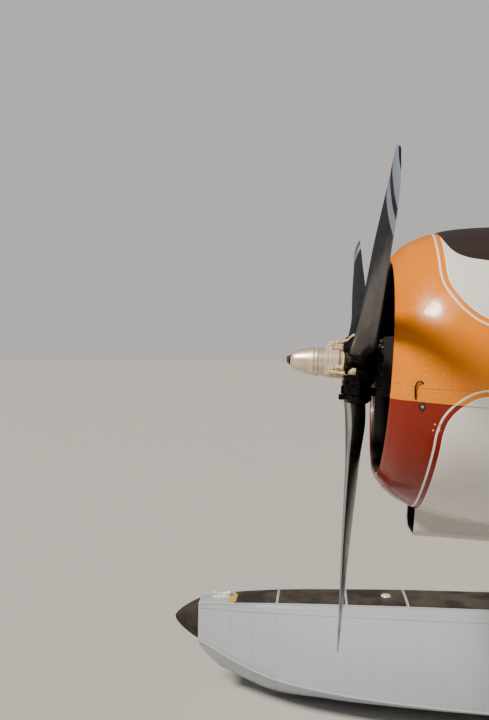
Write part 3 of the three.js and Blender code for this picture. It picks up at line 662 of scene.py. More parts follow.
@functools.cache
def cast_aluminium():
    """Sand-cast aluminium: mid grey and half matt, with a fine grain."""
    return plain_metal("cast_aluminium", 0x9A978F, 0x6E6B65, 0.50)


@functools.cache
def finned_iron():
    """Black heat-proof paint over cast fins, burnt brown near the ports."""
    return plain_metal("finned_iron", 0x1E1C1A, 0x3A281C, 0.6, metallic=0.6)


@functools.cache
def crankcase_enamel():
    """Dark grey engine enamel under a film of oil."""
    return plain_metal("crankcase_enamel", 0x0C0C0C, 0x060606, 0.6, 0.05, 0.0)


@functools.cache
def sooty_steel():
    """Steel tube dulled by heat and oil: dark, its gloss uneven."""
    return plain_metal("sooty_steel", 0x4C4842, 0x1D1A18, 0.45)


@functools.cache
def painted_highlight_heads():
    """Screw heads in pale orange: a painted highlight, so that each seems to catch the light."""
    return plain_metal("painted_highlight_heads", 0xFFC07C, 0xDC9850, 0.28, 0.01, 0.0)


@functools.cache
def exhaust_steel():
    """Stainless pipe burnt by exhaust heat: brown and straw in patches, half matt."""
    return plain_metal("exhaust_steel", 0x8A6E58, 0x4C3428, 0.42, 0.05)


def moulded(name, colour, worn, rough, grain=0.002, size=0.05, strength=0.2):
    """Rubber or plastic with no metal in it: faded patches, and a skin grain drawn coarse enough to show."""
    made, tree, shader, where = begin(name)
    patch = stained(tree, shader, where, linear(colour), linear(worn), size, 0.7)
    dull(tree, shader, patch, rough, min(rough + 0.2, 1.0))
    skin_grain = put(tree, "TexNoise", {"Vector": where, "Scale": 1 / grain, "Detail": 3.0})
    relief(tree, shader, (skin_grain, strength, 0.0004))
    return made


@functools.cache
def black_rubber():
    """Moulded black rubber: matt, greyed by sun."""
    return moulded("black_rubber", 0x1B1A19, 0x34302C, 0.6)


@functools.cache
def bumper_rubber():
    """Moulded bumper rubber: brown-black, bloomed by sun and scuffed by docks."""
    return moulded("bumper_rubber", 0x1E1915, 0x3E342C, 0.76, 0.003, 0.07, 0.5)


@functools.cache
def inside_black():
    """Flat near-black that gives almost no shine: painted shade on the cowl's liner, inside the scoop's duct
    and on the engine's cases, and also used for the engine's baffle and the panel's dial rims and knobs.
    """
    return moulded("inside_black", 0x0B0A0A, 0x171514, 0.9, 0.004)


@functools.cache
def hull_paint():
    """Aluminium under worn paint, given a darker, bluer grey than its own grey-white as painted shade:
    faintly stained, with a duller gloss than the airframe.
    """
    made, tree, shader, where = begin("hull_paint")
    patch = stained(tree, shader, where, tuple(paints().hull), linear(0xA9AAAA), 0.5, 0.3)
    dull(tree, shader, patch, 0.34, 0.58)
    grain = put(tree, "TexNoise", {"Vector": where, "Scale": 1 / 0.004, "Detail": 2.0})
    dent = put(tree, "TexNoise", {"Vector": where, "Scale": 1 / 0.18, "Detail": 1.0})
    relief(tree, shader, (grain, 0.12, 0.0005), (dent, 0.2, 0.003))
    return made


@functools.cache
def deck_grit():
    """Dark grit paint underfoot: matt, with a coarse grain that catches light, worn paler where feet go."""
    made, tree, shader, where = begin("deck_grit")
    patch = stained(tree, shader, where, tuple(paints().deck), linear(0x5C544C), 0.15, 0.5)
    dull(tree, shader, patch, 0.78, 0.95)
    grit = put(tree, "TexNoise", {"Vector": where, "Scale": 1 / 0.0022, "Detail": 3.0})
    relief(tree, shader, (grit, 0.9, 0.0012))
    return made


@functools.cache
def seat_vinyl():
    """Tan leathercloth: a fine pressed grain, with a low sheen where people sit."""
    return moulded("seat_vinyl", 0x6B5540, 0x4A3A2C, 0.48, 0.0016, 0.10, 0.35)


@functools.cache
def panel_paint():
    """Crackle paint on the instrument panel: a fine wrinkle that breaks up reflections."""
    return moulded("panel_paint", 0x26282A, 0x1A1B1C, 0.6, 0.0014, 0.08, 0.5)


@functools.cache
def dial_black():
    """A dial's black face: smooth, with a low gloss."""
    return moulded("dial_black", 0x101112, 0x1C1D1E, 0.25, 0.01, 0.05, 0.02)


@functools.cache
def placard_yellow():
    """A blank yellow plate screwed to the deck, sun-faded."""
    return moulded("placard_yellow", 0xD8B84A, 0xB49A4A, 0.4, 0.01, 0.05, 0.1)


ORANGE_FROM = {"wing": 6.35, "fin": 1.18, "tailplane": 2.02}  # out along the span, or up the fin


def beyond(axis, place_at):
    """Metres past a place along one of the airframe's axes, as a measure for the trim."""

    def measure(tree, where):
        along = airframe_part(tree, where, axis)
        if axis == 0:
            along = put(tree, "Math", {0: along}, operation="ABSOLUTE")
        return put(tree, "Math", {0: along, 1: place_at}, operation="SUBTRACT")

    return measure


def nowhere(tree, where):
    """A measure that is outside everywhere: far under the ground."""
    return put(tree, "Math", {0: airframe_part(tree, where, 2), 1: 50.0}, operation="SUBTRACT")


@functools.cache
def wing_enamel():
    """White wing enamel, orange outboard of a place near the tip."""
    return enamel_coats("wing_enamel", paints().orange, beyond(0, ORANGE_FROM["wing"]), nowhere)


@functools.cache
def tail_enamel():
    """White enamel of the fin and rudder, orange above a height."""
    return enamel_coats("tail_enamel", paints().orange, beyond(2, ORANGE_FROM["fin"]), nowhere)


@functools.cache
def tailplane_enamel():
    """White tailplane enamel, orange at its tips."""
    return enamel_coats("tailplane_enamel", paints().orange, beyond(0, ORANGE_FROM["tailplane"]), nowhere)


def lamp_glass(side, code):
    """Coloured glass over a lamp, clear enough to glow where light passes through it."""
    made, _, shader, _ = begin(f"lamp_glass_{side}", roughness=0.08, transmission_weight=0.6)
    shader.inputs["Base Color"].default_value = linear(code)
    return made


@functools.cache
def window_acrylic():
    """Clear acrylic with a faint green-grey cast, crazed a little by sun."""
    made, tree, shader, where = begin("window_acrylic", roughness=0.03, transmission_weight=1.0)
    shader.inputs["Base Color"].default_value = linear(0xDCE6E4)
    shader.inputs["IOR"].default_value = 1.49
    craze = put(tree, "TexNoise", {"Vector": where, "Scale": 1 / 0.12, "Detail": 1.0})
    relief(tree, shader, (craze, 0.05, 0.002))
    return made


# Sizes and colours that a user may change.


def colour(name, description, code):
    """A colour that a user may change, from its sRGB hex value."""
    return bpy.props.FloatVectorProperty(
        name=name, description=description, subtype="COLOR", size=4, min=0, max=1, default=linear(code)
    )


def size(name, description, metres):
    """A length that a user may change."""
    return bpy.props.FloatProperty(name=name, description=description, default=metres, min=0, unit="LENGTH")


class FloatplaneColours(bpy.types.PropertyGroup):
    """Paint colours"""

    orange: colour("Orange", "Enamel of the nose and the stripe along the body", 0xF28900)
    # The lower cowl's orange is redder and darker than the upper's as painted shade.
    painted_shade_orange: colour("Deep Orange", "Enamel of the lower cowl", 0x841C00)
    white: colour("White", "Enamel of the wings, tail and most of the body", 0xEDEAE4)
    # This black is also painted shade on the cowl's inner wall.
    glare_black_and_painted_shade: colour("Glare Black", "Dull paint on top of the nose, ahead of the windscreen", 0x342B27)
    # The floats' grey is darker and bluer than their grey-white paint: partly painted shade.
    hull: colour("Hull Grey", "Paint of the floats", 0xAEB6C0)
    deck: colour("Deck Panels", "Grit paint where people step on the floats", 0x2B2623)
    blade: colour("Blade Paint", "Paint of the propeller's blades", 0x1A1B1C)
    # The tip bands' blue-grey is darker than their light paint: painted shade.
    band: colour("Tip Band", "Bands near the blades' tips", 0x939DAE)
    backdrop: colour("Backdrop", "The floor and what stands behind it", 0xC2C0BC)


class FloatplaneSizes(bpy.types.PropertyGroup):
    """Sizes of small details"""

    stripe_from: size("Stripe From", "From the orange's edge to the thin white stripe", 0.017)
    stripe_width: size("Stripe Width", "Width of the thin white stripe", 0.0075)
    rivet: size("Rivet Head", "Radius of a rivet's head", 0.0035)
    handle: size("Handle Length", "Length of a door's handle", 0.13)


def paints():
    """The scene's colours."""
    return bpy.context.scene.floatplane_colours


def sizes():
    """The scene's sizes."""
    return bpy.context.scene.floatplane_sizes


# Propeller.

# Radius, chord, thickness, pitch in degrees and sweep as a share of the chord.
BLADE = [
    [0.150, 0.098, 0.094, 49.0, 0.00],
    [0.260, 0.112, 0.080, 38.0, 0.18],
    [0.400, 0.129, 0.050, 27.5, 0.17],
    [0.600, 0.145, 0.034, 20.5, 0.14],
    [0.820, 0.160, 0.024, 14.0, 0.11],
    [1.040, 0.160, 0.017, 9.0, 0.15],
    [1.180, 0.141, 0.013, 7.0, 0.16],
    [1.255, 0.099, 0.009, 7.5, 0.10],
    [1.295, 0.034, 0.005, 9.0, 0.03],
]
BLADE_SECTION = [
    # share of the chord from the middle, height as a share of the thickness
    [-0.50, 0.06],
    [-0.38, 0.62],
    [-0.15, 1.00],
    [0.15, 0.86],
    [0.38, 0.42],
    [0.50, 0.08],
    [0.50, -0.08],
    [0.38, -0.30],
    [0.15, -0.55],
    [-0.15, -0.60],
    [-0.38, -0.40],
    [-0.50, -0.06],
]
SECTION_HEIGHT = 1.6  # from the section's lowest place to its highest
LINK_ANGLES = np.radians([-2, 118, 238])  # from straight up towards the port side


def around(outline, count):
    """A closed smooth outline through given points, with count places spaced evenly along it."""
    p = np.asarray(outline, float)
    p = np.concatenate([p[-3:], p, p[:3]])
    along = lengths(p)
    return through(along, p, np.linspace(along[3], along[-3], count, endpoint=False))


def blade_measures(angle):
    """Functions of place for one blade: metres from the hub, and share of the chord from the leading edge."""
    turn = about_aft(angle)[0]
    table = np.array(BLADE)

    def span(points):
        return (points @ turn.T)[:, 2]

    def chord(points):
        local = points @ turn.T
        out = np.clip(local[:, 2], table[0, 0], table[-1, 0])
        width, _, pitch, sweep = through(table[:, 0], table[:, 1:], out).T
        pitch = np.radians(pitch)
        along = local[:, 0] * np.cos(pitch) + local[:, 1] * np.sin(pitch)
        return along / width - sweep + 0.5

    return {"span": span, "chord": chord}


class AddBlades(bpy.types.Operator):
    """Adds the three blades. A section at radius r is chord(r) wide and turned by pitch(r) about the blade's
    length: with a = (u + sweep) chord and b = h t, x = a cos pitch + b sin pitch, z = r and
    y = a sin pitch - b cos pitch"""

    bl_idname = "floatplane.add_blades"
    bl_label = "Blades"

    def execute(self, context):
        table = np.array(BLADE)
        tip = table[-1, 0]
        # Stations crowd towards the tip, where the outline turns in.
        radii = tip - (tip - table[0, 0]) * (1 - np.linspace(0, 1, 64)) ** 1.35
        _, chord, thick, pitch, sweep = (column[:, None] for column in through(table[:, 0], table, radii).T)
        pitch = np.radians(pitch)
        u, h = around(BLADE_SECTION, 36).T
        along, out = (u + sweep) * chord, h * thick / SECTION_HEIGHT
        rows = np.stack([
            along * np.cos(pitch) + out * np.sin(pitch), along * np.sin(pitch) - out * np.cos(pitch),
            radii[:, None] + 0 * along,
        ], -1)
        blade = capped(rows)
        for number, angle in enumerate(BLADE_ANGLES, 1):
            turned = [copies(blade, turns=about_aft(angle))]
            piece(
                f"blade_{number}", turned, [blade_paint()], "propeller", [f"prop_blade_{number}"],
                "blade_metal", 60, blade_measures(angle),
            )
        return {"FINISHED"}


class AddHub(bpy.types.Operator):
    """Adds the hub: a turned barrel r(y) on the thrust axis and, for each blade, a split clamp r(z) about the
    blade's own length, with its flange, lug and bolts, all three copies turned about the axis"""

    bl_idname = "floatplane.add_hub"
    bl_label = "Hub"

    def execute(self, context):
        barrel = lathe([
            [0.0, -0.095], [0.056, -0.093], [0.058, -0.068], [0.078, -0.062], [0.085, -0.052],
            [0.085, 0.06], [0.078, 0.07], [0.052, 0.074], [0.0, 0.074],
        ], 64)
        clamp = lathe([
            [0.03, 0.04], [0.0615, 0.052], [0.062, 0.066], [0.062, 0.13], [0.059, 0.133], [0.059, 0.136],
            [0.066, 0.138], [0.0665, 0.153], [0.06, 0.158], [0.052, 0.1665], [0.045, 0.17],
        ], 48, "z")
        # The two halves meet in a plane through the blade, ahead of it and behind it.
        flange = slab(eased_box((-0.013, -0.070), (0.013, 0.084), 0.006), 0.098, 0.134, 0.002)
        lug = slab(eased_box((-0.016, -0.078), (0.016, -0.050), 0.006), 0.137, 0.160, 0.002)
        groove = lathe([
            [0.0625, 0.082], [0.064, 0.084], [0.064, 0.09], [0.0625, 0.092], [0.058, 0.092], [0.058, 0.082]
        ], 48, "z", ring=True)
        steel = [copies(form, turns=about_aft(BLADE_ANGLES)) for form in (clamp, flange, lug, groove)]
        bolt = hexagon_bolt(0.013, 0.009, finish=0)
        sides = facing([[1, 0, 0], [-1, 0, 0]], (0, 0, 1))
        bolts = []
        for height, depth in ((0.108, 0.076), (0.124, 0.076), (0.149, -0.069)):
            reach = 0.016 if height > 0.14 else 0.013
            pair = joined([
                copies(bolt, [[reach, depth, height]], sides[:1]),
                copies(bolt, [[-reach, depth, height]], sides[1:]),
            ])
            bolts.append(copies(pair, turns=about_aft(BLADE_ANGLES)))
        piece(
            "hub", [barrel, *steel, *bolts], [blackened_steel(), plated_steel()], "propeller", ["prop_hub"],
            "hub_steel", 35,
        )
        return {"FINISHED"}


class AddDome(bpy.types.Operator):
    """Adds the dome over the pitch cylinder, r(y) turned about the thrust axis, with its brass tip, the
    collar and its three forks, and a link from each fork to the nearest blade's clamp"""

    bl_idname = "floatplane.add_dome"
    bl_label = "Dome and Links"

    def execute(self, context):
        profile = [
            [0.0, -0.3035], [0.012, -0.303], [0.026, -0.3], [0.0345, -0.294], [0.0405, -0.281],
            [0.0475, -0.261], [0.0535, -0.24], [0.058, -0.219], [0.0605, -0.206],
        ]
        bands = [
            [0.0625, -0.204], [0.0632, -0.2025], [0.0632, -0.1985], [0.062, -0.197], [0.0605, -0.1965],
            [0.0605, -0.192], [0.0625, -0.191], [0.0632, -0.1895], [0.0632, -0.18], [0.062, -0.1785],
            [0.061, -0.1775],
        ]
        rest = [[0.0616, -0.1660], [0.0618, -0.1475], [0.0618, -0.0890], [0.0, -0.0885]]
        dome = lathe(profile + bands + rest, 96)
        collar = lathe([
            [0.06, -0.148], [0.065, -0.1478], [0.0668, -0.1465], [0.0668, -0.137], [0.064, -0.136],
            [0.064, -0.13], [0.0668, -0.129], [0.0668, -0.089], [0.065, -0.0875], [0.06, -0.087],
        ], 96, ring=True, finish=1)
        hexagon = lathe([
            [0.0, -0.3185], [0.0125, -0.318], [0.0155, -0.3155], [0.0155, -0.303], [0.0, -0.302]
        ], 6, finish=2)
        washer = lathe([
            [0.0, -0.308], [0.0205, -0.3075], [0.0225, -0.305], [0.023, -0.299], [0.0, -0.298]
        ], 32, finish=4)
        screws = np.radians(np.arange(0, 360, 30) + 11)
        ring_of_screws = copies(
            hexagon_bolt(0.006, 0.004, 1), around_axis(0.0632, screws, -0.1845),
            facing(around_axis(1.0, screws)),
        )
        # A fork on the collar: two cheeks with a pin across them.
        cheek = slab(
            eased([
                [-0.144, 0.058], [-0.112, 0.058], [-0.112, 0.078], [-0.12, 0.0875], [-0.136, 0.0875],
                [-0.144, 0.078],
            ], 0.005, True),
            0.009, 0.0145, 0.001, "x", 3,
        )
        pin = lathe([[0.0, -0.0175], [0.0055, -0.0165], [0.0055, 0.0165], [0.0, 0.0175]], 12, "x", finish=1)
        forks = joined([cheek, *mirrored([cheek])])
        link_path = curve([
            [0.0, -0.128, 0.079], [0.0, -0.109, 0.088], [-0.001, -0.085, 0.093], [-0.006, -0.062, 0.0985],
            [-0.02, -0.04, 0.112], [-0.03, -0.03, 0.121],
        ], 28)
        link = tube(link_path, 0.0096 + 0.0024 * np.cos(np.linspace(0, 2 * math.pi, 28)), 14, 3)
        fork_pin = [[0, -0.128, 0.0790]]
        eye = lathe([
            [0.0055, -0.0075], [0.0125, -0.0075], [0.014, -0.006], [0.014, 0.006], [0.0125, 0.0075],
            [0.0055, 0.0075],
        ], 24, "x", ring=True, finish=3)
        far_eye = lathe([
            [0.0, -0.0085], [0.013, -0.0085], [0.0145, -0.007], [0.0145, 0.007], [0.013, 0.0085],
            [0.0, 0.0085],
        ], 24, finish=3)
        far_pin = copies(
            hexagon_bolt(0.014, 0.008, 1), [[-0.03, -0.0345, 0.121]], facing([[0, -1, 0]], (1, 0, 0))
        )
        block = slab(eased_box((-0.048, -0.064), (-0.010, -0.018), 0.008), 0.098, 0.118, 0.002, finish=4)
        every = about_aft(LINK_ANGLES)
        parts = (
            forks, copies(pin, fork_pin), link, copies(eye, fork_pin),
            copies(far_eye, [[-0.03, -0.026, 0.121]]), far_pin, block,
        )
        links = [copies(form, turns=every) for form in parts]
        # Guide rods stand in pairs between the collar and the barrel.
        lean = np.radians([5, 30])
        rod = lathe([[0.0, -0.118], [0.0042, -0.117], [0.0042, -0.046], [0.0, -0.045]], 10, finish=1)
        nut = lathe([[0.0, -0.124], [0.0072, -0.124], [0.0072, -0.116], [0.0, -0.116]], 6, finish=1)
        rods, nuts = (copies(copies(form, around_axis(0.0735, lean)), turns=every) for form in (rod, nut))
        skirt = lathe([
            [0.05, -0.09], [0.058, -0.0885], [0.059, -0.08], [0.058, -0.072], [0.061, -0.0665],
            [0.05, -0.066],
        ], 64, ring=True, finish=3)
        saddle = copies(
            slab(rounded_box((-0.024, -0.106), (0.024, -0.066), 0.008), 0.056, 0.083, 0.003, finish=3),
            turns=every,
        )
        shapes = [dome, collar, hexagon, washer, ring_of_screws, *links, saddle, rods, nuts, skirt]
        finishes = [dome_aluminium(), collar_aluminium(), brass(), cream_enamel(), blackened_steel()]
        piece("dome", shapes, finishes, "propeller", ["prop_dome"], "dome_metal", 35)
        return {"FINISHED"}


# Cowl.

# The thin stripe's middle on the cowl, as station and distance down around it from the widest place.
STRIPE_ABOVE = [
    [0.262, -1.0], [0.258, -0.826], [0.248, -0.598], [0.247, -0.464], [0.248, -0.396], [0.257, -0.337],
    [0.281, -0.285], [0.319, -0.232], [0.355, -0.199], [0.48, -0.152], [0.7, -0.12], [1.06, -0.0935],
]
STRIPE_BELOW = [
    [1.06, 0.0135], [0.7, 0.03], [0.48, 0.048], [0.366, 0.068], [0.331, 0.091], [0.297, 0.125],
    [0.274, 0.162], [0.259, 0.221], [0.256, 0.292], [0.252, 0.389], [0.248, 0.516], [0.249, 0.764],
    [0.25, 1.0],
]
GLARE_EDGE = [
    [0.266, -1.0], [0.268, -0.85], [0.272, -0.684], [0.282, -0.59], [0.298, -0.53], [0.318, -0.498],
    [0.345, -0.478], [0.4, -0.462], [0.7, -0.47], [1.06, -0.468],
]
COWL_SEAM = -0.115  # height of the joint between the cowl's halves


def cowl_radius(station):
    """The radius of the cowl's outside at stations, from its profile behind the lip."""
    profile, station = np.array(COWL_OUTSIDE)[4:], np.asarray(station, float)
    return through(profile[:, 1], profile[:, 0], station.ravel()).reshape(station.shape)


def on_cowl(station, angle, lift=0.0):
    """A place on the cowl's outside: station, angle from the top towards port, and height off the skin."""
    radius = cowl_radius(station) + lift
    return np.stack([radius * np.sin(angle), station + 0 * angle, radius * np.cos(angle) - COWL_DROP], -1)


def cowl_angle(station, height):
    """The angle from the top at which the cowl's skin is at a height."""
    return np.arccos(np.clip((height + COWL_DROP) / cowl_radius(station), -1, 1))


def signed_distance(points, outline):
    """Distance to an open outline of straight runs, positive on its left-hand side."""
    a, b = np.asarray(outline[:-1]), np.asarray(outline[1:])
    run = b - a
    share = np.clip(np.einsum("nsk,sk->ns", points[:, None] - a, run) / np.sum(run**2, -1), 0, 1)
    off = points[:, None] - (a + share[..., None] * run)
    distance = np.linalg.norm(off, axis=-1)
    nearest = np.argmin(distance, 1)
    n = np.arange(len(points))
    side = run[nearest, 0] * off[n, nearest, 1] - run[nearest, 1] * off[n, nearest, 0]
    return np.sign(side) * distance[n, nearest]


def girth(points):
    """Distance down around the body from its widest place, as for a round body."""
    return -np.hypot(points[:, 0], points[:, 2]) * np.arctan2(points[:, 2], np.abs(points[:, 0]))


def cowl_trim(points):
    """Metres inside the orange: everything ahead of its edge, and the tongue along the side."""
    flat = np.stack([points[:, 1], girth(points)], -1)
    above, below = curve(STRIPE_ABOVE, 160), curve(STRIPE_BELOW, 160)
    stripe = np.concatenate([above, [[1.6, above[-1, 1]], [1.6, below[0, 1]]], below])
    return signed_distance(flat, stripe) + sizes().stripe_from + sizes().stripe_width / 2


def cowl_black_and_painted_shade(points):
    """Metres inside the black: the dull paint over the top, and the inner wall's painted shade."""
    flat = np.stack([points[:, 1], girth(points)], -1)
    edge = curve(GLARE_EDGE, 120)
    top = -signed_distance(flat, np.concatenate([edge, [[1.6, edge[-1, 1]]]]))
    # The inner wall is black too, from just inside the lip: painted shade.
    radius = np.hypot(points[:, 0], points[:, 2] + COWL_DROP)
    depth = cowl_radius(np.clip(points[:, 1], *COWL_REACH)) - radius
    return np.where(points[:, 1] > 0.099, np.maximum(top, depth - 0.010), top)


COWL_MARKS = {"trim": cowl_trim, "glare": cowl_black_and_painted_shade}


def cowl_wall(angles, drop=0.0):
    """A panel of the cowl between angles given for each station: outside, inside and closed edges."""
    outside = curve(np.array(COWL_OUTSIDE), 72)
    inside = curve(np.array(COWL_INSIDE), 72)
    grids = []
    for profile, off in ((outside, drop), (inside, 0.0)):
        turn = angles(np.clip(profile[:, 1], *COWL_REACH))
        radius = profile[:, :1] - off
        grids.append(np.stack([
            radius * np.sin(turn), profile[:, 1:] + 0 * turn, radius * np.cos(turn) - COWL_DROP
        ], -1))
    return shell(*grids)


def rivet_rows(places, normals, radius=None, height=0.0012, finish=0, sides=6):
    """Rivets' heads at places on a skin, each standing along its normal."""
    radius = radius or sizes().rivet
    return copies(stud(radius, height, sides, finish), places, facing(normals, (0.3, 1, 0.2)))


def cowl_rivets(stations, angles, radius=None, lift=0.0, finish=0):
    """Rivets on the cowl at stations and angles, square to its skin."""
    stations, angles = np.broadcast_arrays(*(
        np.asarray(part, float).ravel() for part in (stations, angles)
    ))
    lean = (cowl_radius(stations + 0.004) - cowl_radius(stations - 0.004)) / 0.008
    normals = np.stack([np.sin(angles), -lean, np.cos(angles)], -1)
    return rivet_rows(on_cowl(stations, angles, lift), normals, radius, finish=finish)


def cowl_strip(path, width, lift, side):
    """A thin sheet laid on the cowl along a path of station and height, its long edges down on the skin."""
    path = curve(path, 40)
    across = width * np.array([-0.5, -0.47, 0.47, 0.5])
    station, height = path[:, :1] + 0 * across, path[:, 1:] + across
    angle = side * cowl_angle(station, height)
    outer = on_cowl(station, angle, np.array([0.0, lift, lift, 0.0]))
    return shell(outer, on_cowl(station, angle, -0.001))


# Rivets on the cowl's side: start and end of each row as station and height, and how many.
SIDE_RIVETS = [
    [[0.190, 0.049], [0.184, -0.024], 4],
    [[0.216, 0.049], [0.202, -0.019], 4],
    [[0.245, 0.059], [0.262, -0.011], 3],
    [[0.113, -0.033], [0.151, -0.037], 3],
    [[0.122, -0.068], [0.158, -0.070], 3],
    [[0.197, -0.041], [0.204, -0.060], 2],
    [[0.240, -0.072], [0.330, -0.072], 5],
    [[0.262, -0.044], [0.300, -0.046], 3],
]
LAP_LINE = [[0.104, -0.050], [0.176, -0.060], [0.328, -0.058], [0.600, -0.060], [1.050, -0.062]]


class AddCowl(bpy.types.Operator):
    """Adds the engine cowl: the profile r(y) turned about an axis 8 mm under the thrust line, split at one
    height into an upper and a lower panel, point = (r sin a, y, r cos a - 0.008)"""

    bl_idname = "floatplane.add_cowl"
    bl_label = "Cowl"

    def execute(self, context):
        gap = 0.0008  # half the joint's width

        def upper(station):
            seam = cowl_angle(station, COWL_SEAM + gap)[:, None]
            return seam * np.linspace(-1, 1, 201)[None]

        def lower(station):
            seam = cowl_angle(station, COWL_SEAM - gap)[:, None]
            return seam + (2 * math.pi - 2 * seam) * np.linspace(0, 1, 161)[None]

        stations = np.linspace(0.135, 1.03, 27)
        seam_up = cowl_angle(stations, COWL_SEAM + 0.016)
        seam_down = cowl_angle(stations, COWL_SEAM - 0.018)
        top = [cowl_wall(upper)]
        top.append(cowl_rivets(np.tile(stations, 2), np.concatenate([seam_up, -seam_up])))
        hoops = np.radians(np.linspace(-96, 96, 97))
        for station in (0.86, 1.035):
            top.append(cowl_rivets(np.full(97, station), hoops))
        # A row at the nose ring's joint, and vertical rows at the stiffeners.
        ring = np.radians(np.linspace(-99, 99, 61))
        top.append(cowl_rivets(np.full(61, 0.128), ring, 0.003))
        for side in (1, -1):
            for station, low, high in ((0.285, 0.36, -0.085), (0.318, 0.36, -0.085), (0.62, 0.48, -0.09)):
                heights = np.linspace(low, high, 15)
                top.append(cowl_rivets(
                    np.full(15, station), side * cowl_angle(np.full(15, station), heights)
                ))
            # The lap over the joint, its close rows of screws, and the hooked prop rod.
            top.append(cowl_strip(LAP_LINE, 0.004, 0.0016, side))
            # These screw heads are pale orange: a painted highlight on each.
            for start, finish_at, count in SIDE_RIVETS:
                row = np.linspace(start, finish_at, count)
                top.append(cowl_rivets(
                    row[:, 0], side * cowl_angle(row[:, 0], row[:, 1]), 0.0034, 0.001, 2
                ))
            rod = np.array([
                [0.196, -0.047], [0.191, -0.041], [0.182, -0.041], [0.175, -0.047], [0.171, -0.062],
                [0.172, -0.084], [0.176, -0.106],
            ])
            lift = np.array([0.000, 0.006, 0.008, 0.008, 0.008, 0.007, 0.001])
            top.append(tube(
                curve(on_cowl(rod[:, 0], side * cowl_angle(rod[:, 0], rod[:, 1]), lift), 36), 0.003, 8, 3
            ))
        # A white clip inside the lip, and a thin black liner from the lip back, which is painted shade that
        # darkens the cowl's inside.
        top.append(copies(
            slab(rounded_box((-0.007, -0.01), (0.007, 0.01), 0.004), 0, 0.014, 0.002, "z", 4),
            [[0.45, 0.104, -0.104]], facing([[-0.98, 0, 0.2]]),
        ))
        liner = np.concatenate([[[0.4532, 0.1075], [0.4525, 0.114]], curve(np.array(COWL_INSIDE), 48)])
        wall = np.concatenate([liner - [0.0006, 0], liner[::-1] - [0.0018, 0]])
        top.append(copies(lathe(wall, 128, ring=True, finish=1), [[0, 0, -COWL_DROP]]))
        finishes = [cowl_enamel(), inside_black(), painted_highlight_heads(), sooty_steel(), white_enamel()]
        piece("cowl_top", top, finishes, "airframe", ["cowl_upper"], "orange_enamel", 35, COWL_MARKS)
        bottom = [cowl_wall(lower, LOWER_SUNK)]
        bottom.append(cowl_rivets(
            np.tile(stations, 2), np.concatenate([seam_down, -seam_down]), lift=-LOWER_SUNK
        ))
        low_hoop = np.radians(np.linspace(106, 254, 67))
        for station in (0.128, 0.86, 1.035):
            bottom.append(cowl_rivets(np.full(67, station), low_hoop, lift=-LOWER_SUNK))
        for side in (1, -1):
            # Four screws at a bracket, and the rubber stop that the rod springs into.
            corners = np.array([[0.248, -0.191], [0.264, -0.189], [0.245, -0.213], [0.265, -0.211]])
            # The screws' pale orange is a painted highlight.
            bottom.append(cowl_rivets(
                corners[:, 0], side * cowl_angle(corners[:, 0], corners[:, 1]), 0.0042, -0.0016, 1
            ))
            angle = side * cowl_angle(0.200, -0.130)
            spot, above = (on_cowl(np.array([0.200]), angle, lift) for lift in (-LOWER_SUNK, 0.05))
            turn = facing(above - spot)
            bottom.append(copies(
                lathe([
                    [0.006, -0.002], [0.0135, -0.002], [0.0135, 0.003], [0.0115, 0.006], [0.0075, 0.006],
                    [0.006, 0.004],
                ], 28, "z", ring=True, finish=2),
                spot, turn,
            ))
            bottom.append(copies(
                lathe([
                    [0.0, -0.002], [0.0062, -0.002], [0.0062, 0.0035], [0.0, 0.0045]
                ], 20, "z", finish=1),
                spot, turn,
            ))
        # The lower cowl's redder, darker orange is painted shade.
        finishes = [painted_shade_lower_cowl_enamel(), painted_highlight_heads(), black_rubber()]
        piece("cowl_bottom", bottom, finishes, "airframe", ["cowl_lower"], "orange_enamel", 35, COWL_MARKS)
        return {"FINISHED"}


def belly(station, across):
    """The height of the underside over the scoop: the cowl's, then the nose section's."""
    radius = np.where(station < 1.0, cowl_radius(np.minimum(station, 1.05)), 9.0)
    under_cowl = -np.sqrt(radius**2 - across**2) - COWL_DROP
    frames = np.array(NOSE_FRAMES)
    return np.where(station < 1.0, under_cowl, np.interp(station, frames[:, 0], frames[:, 3]))


def trough(stations, inset, low):
    """Rows across the scoop, from its top on one side round the bottom to the top on the other side."""
    half, corner = 0.115 - inset, 0.042 - inset
    turn = np.radians(np.linspace(0, 90, 7))
    rows = []
    for station in stations:
        bottom = np.interp(station, [0.268, 1.640], [-0.707, -0.690]) + inset
        right = np.column_stack([
            half - corner + corner * np.cos(turn), bottom + corner - corner * np.sin(turn)
        ])
        sides = np.column_stack([
            np.full(6, half), np.linspace(belly(station, half) + low, bottom + corner, 7)[:-1]
        ])
        floor = np.column_stack([np.linspace(half - corner, corner - half, 12)[1:-1], np.full(10, bottom)])
        run = np.concatenate([sides, right, floor, right[::-1] * [-1, 1], sides[::-1] * [-1, 1]])
        rows.append(np.column_stack([run[:, 0], np.full(len(run), station), run[:, 1]]))
    return np.array(rows)


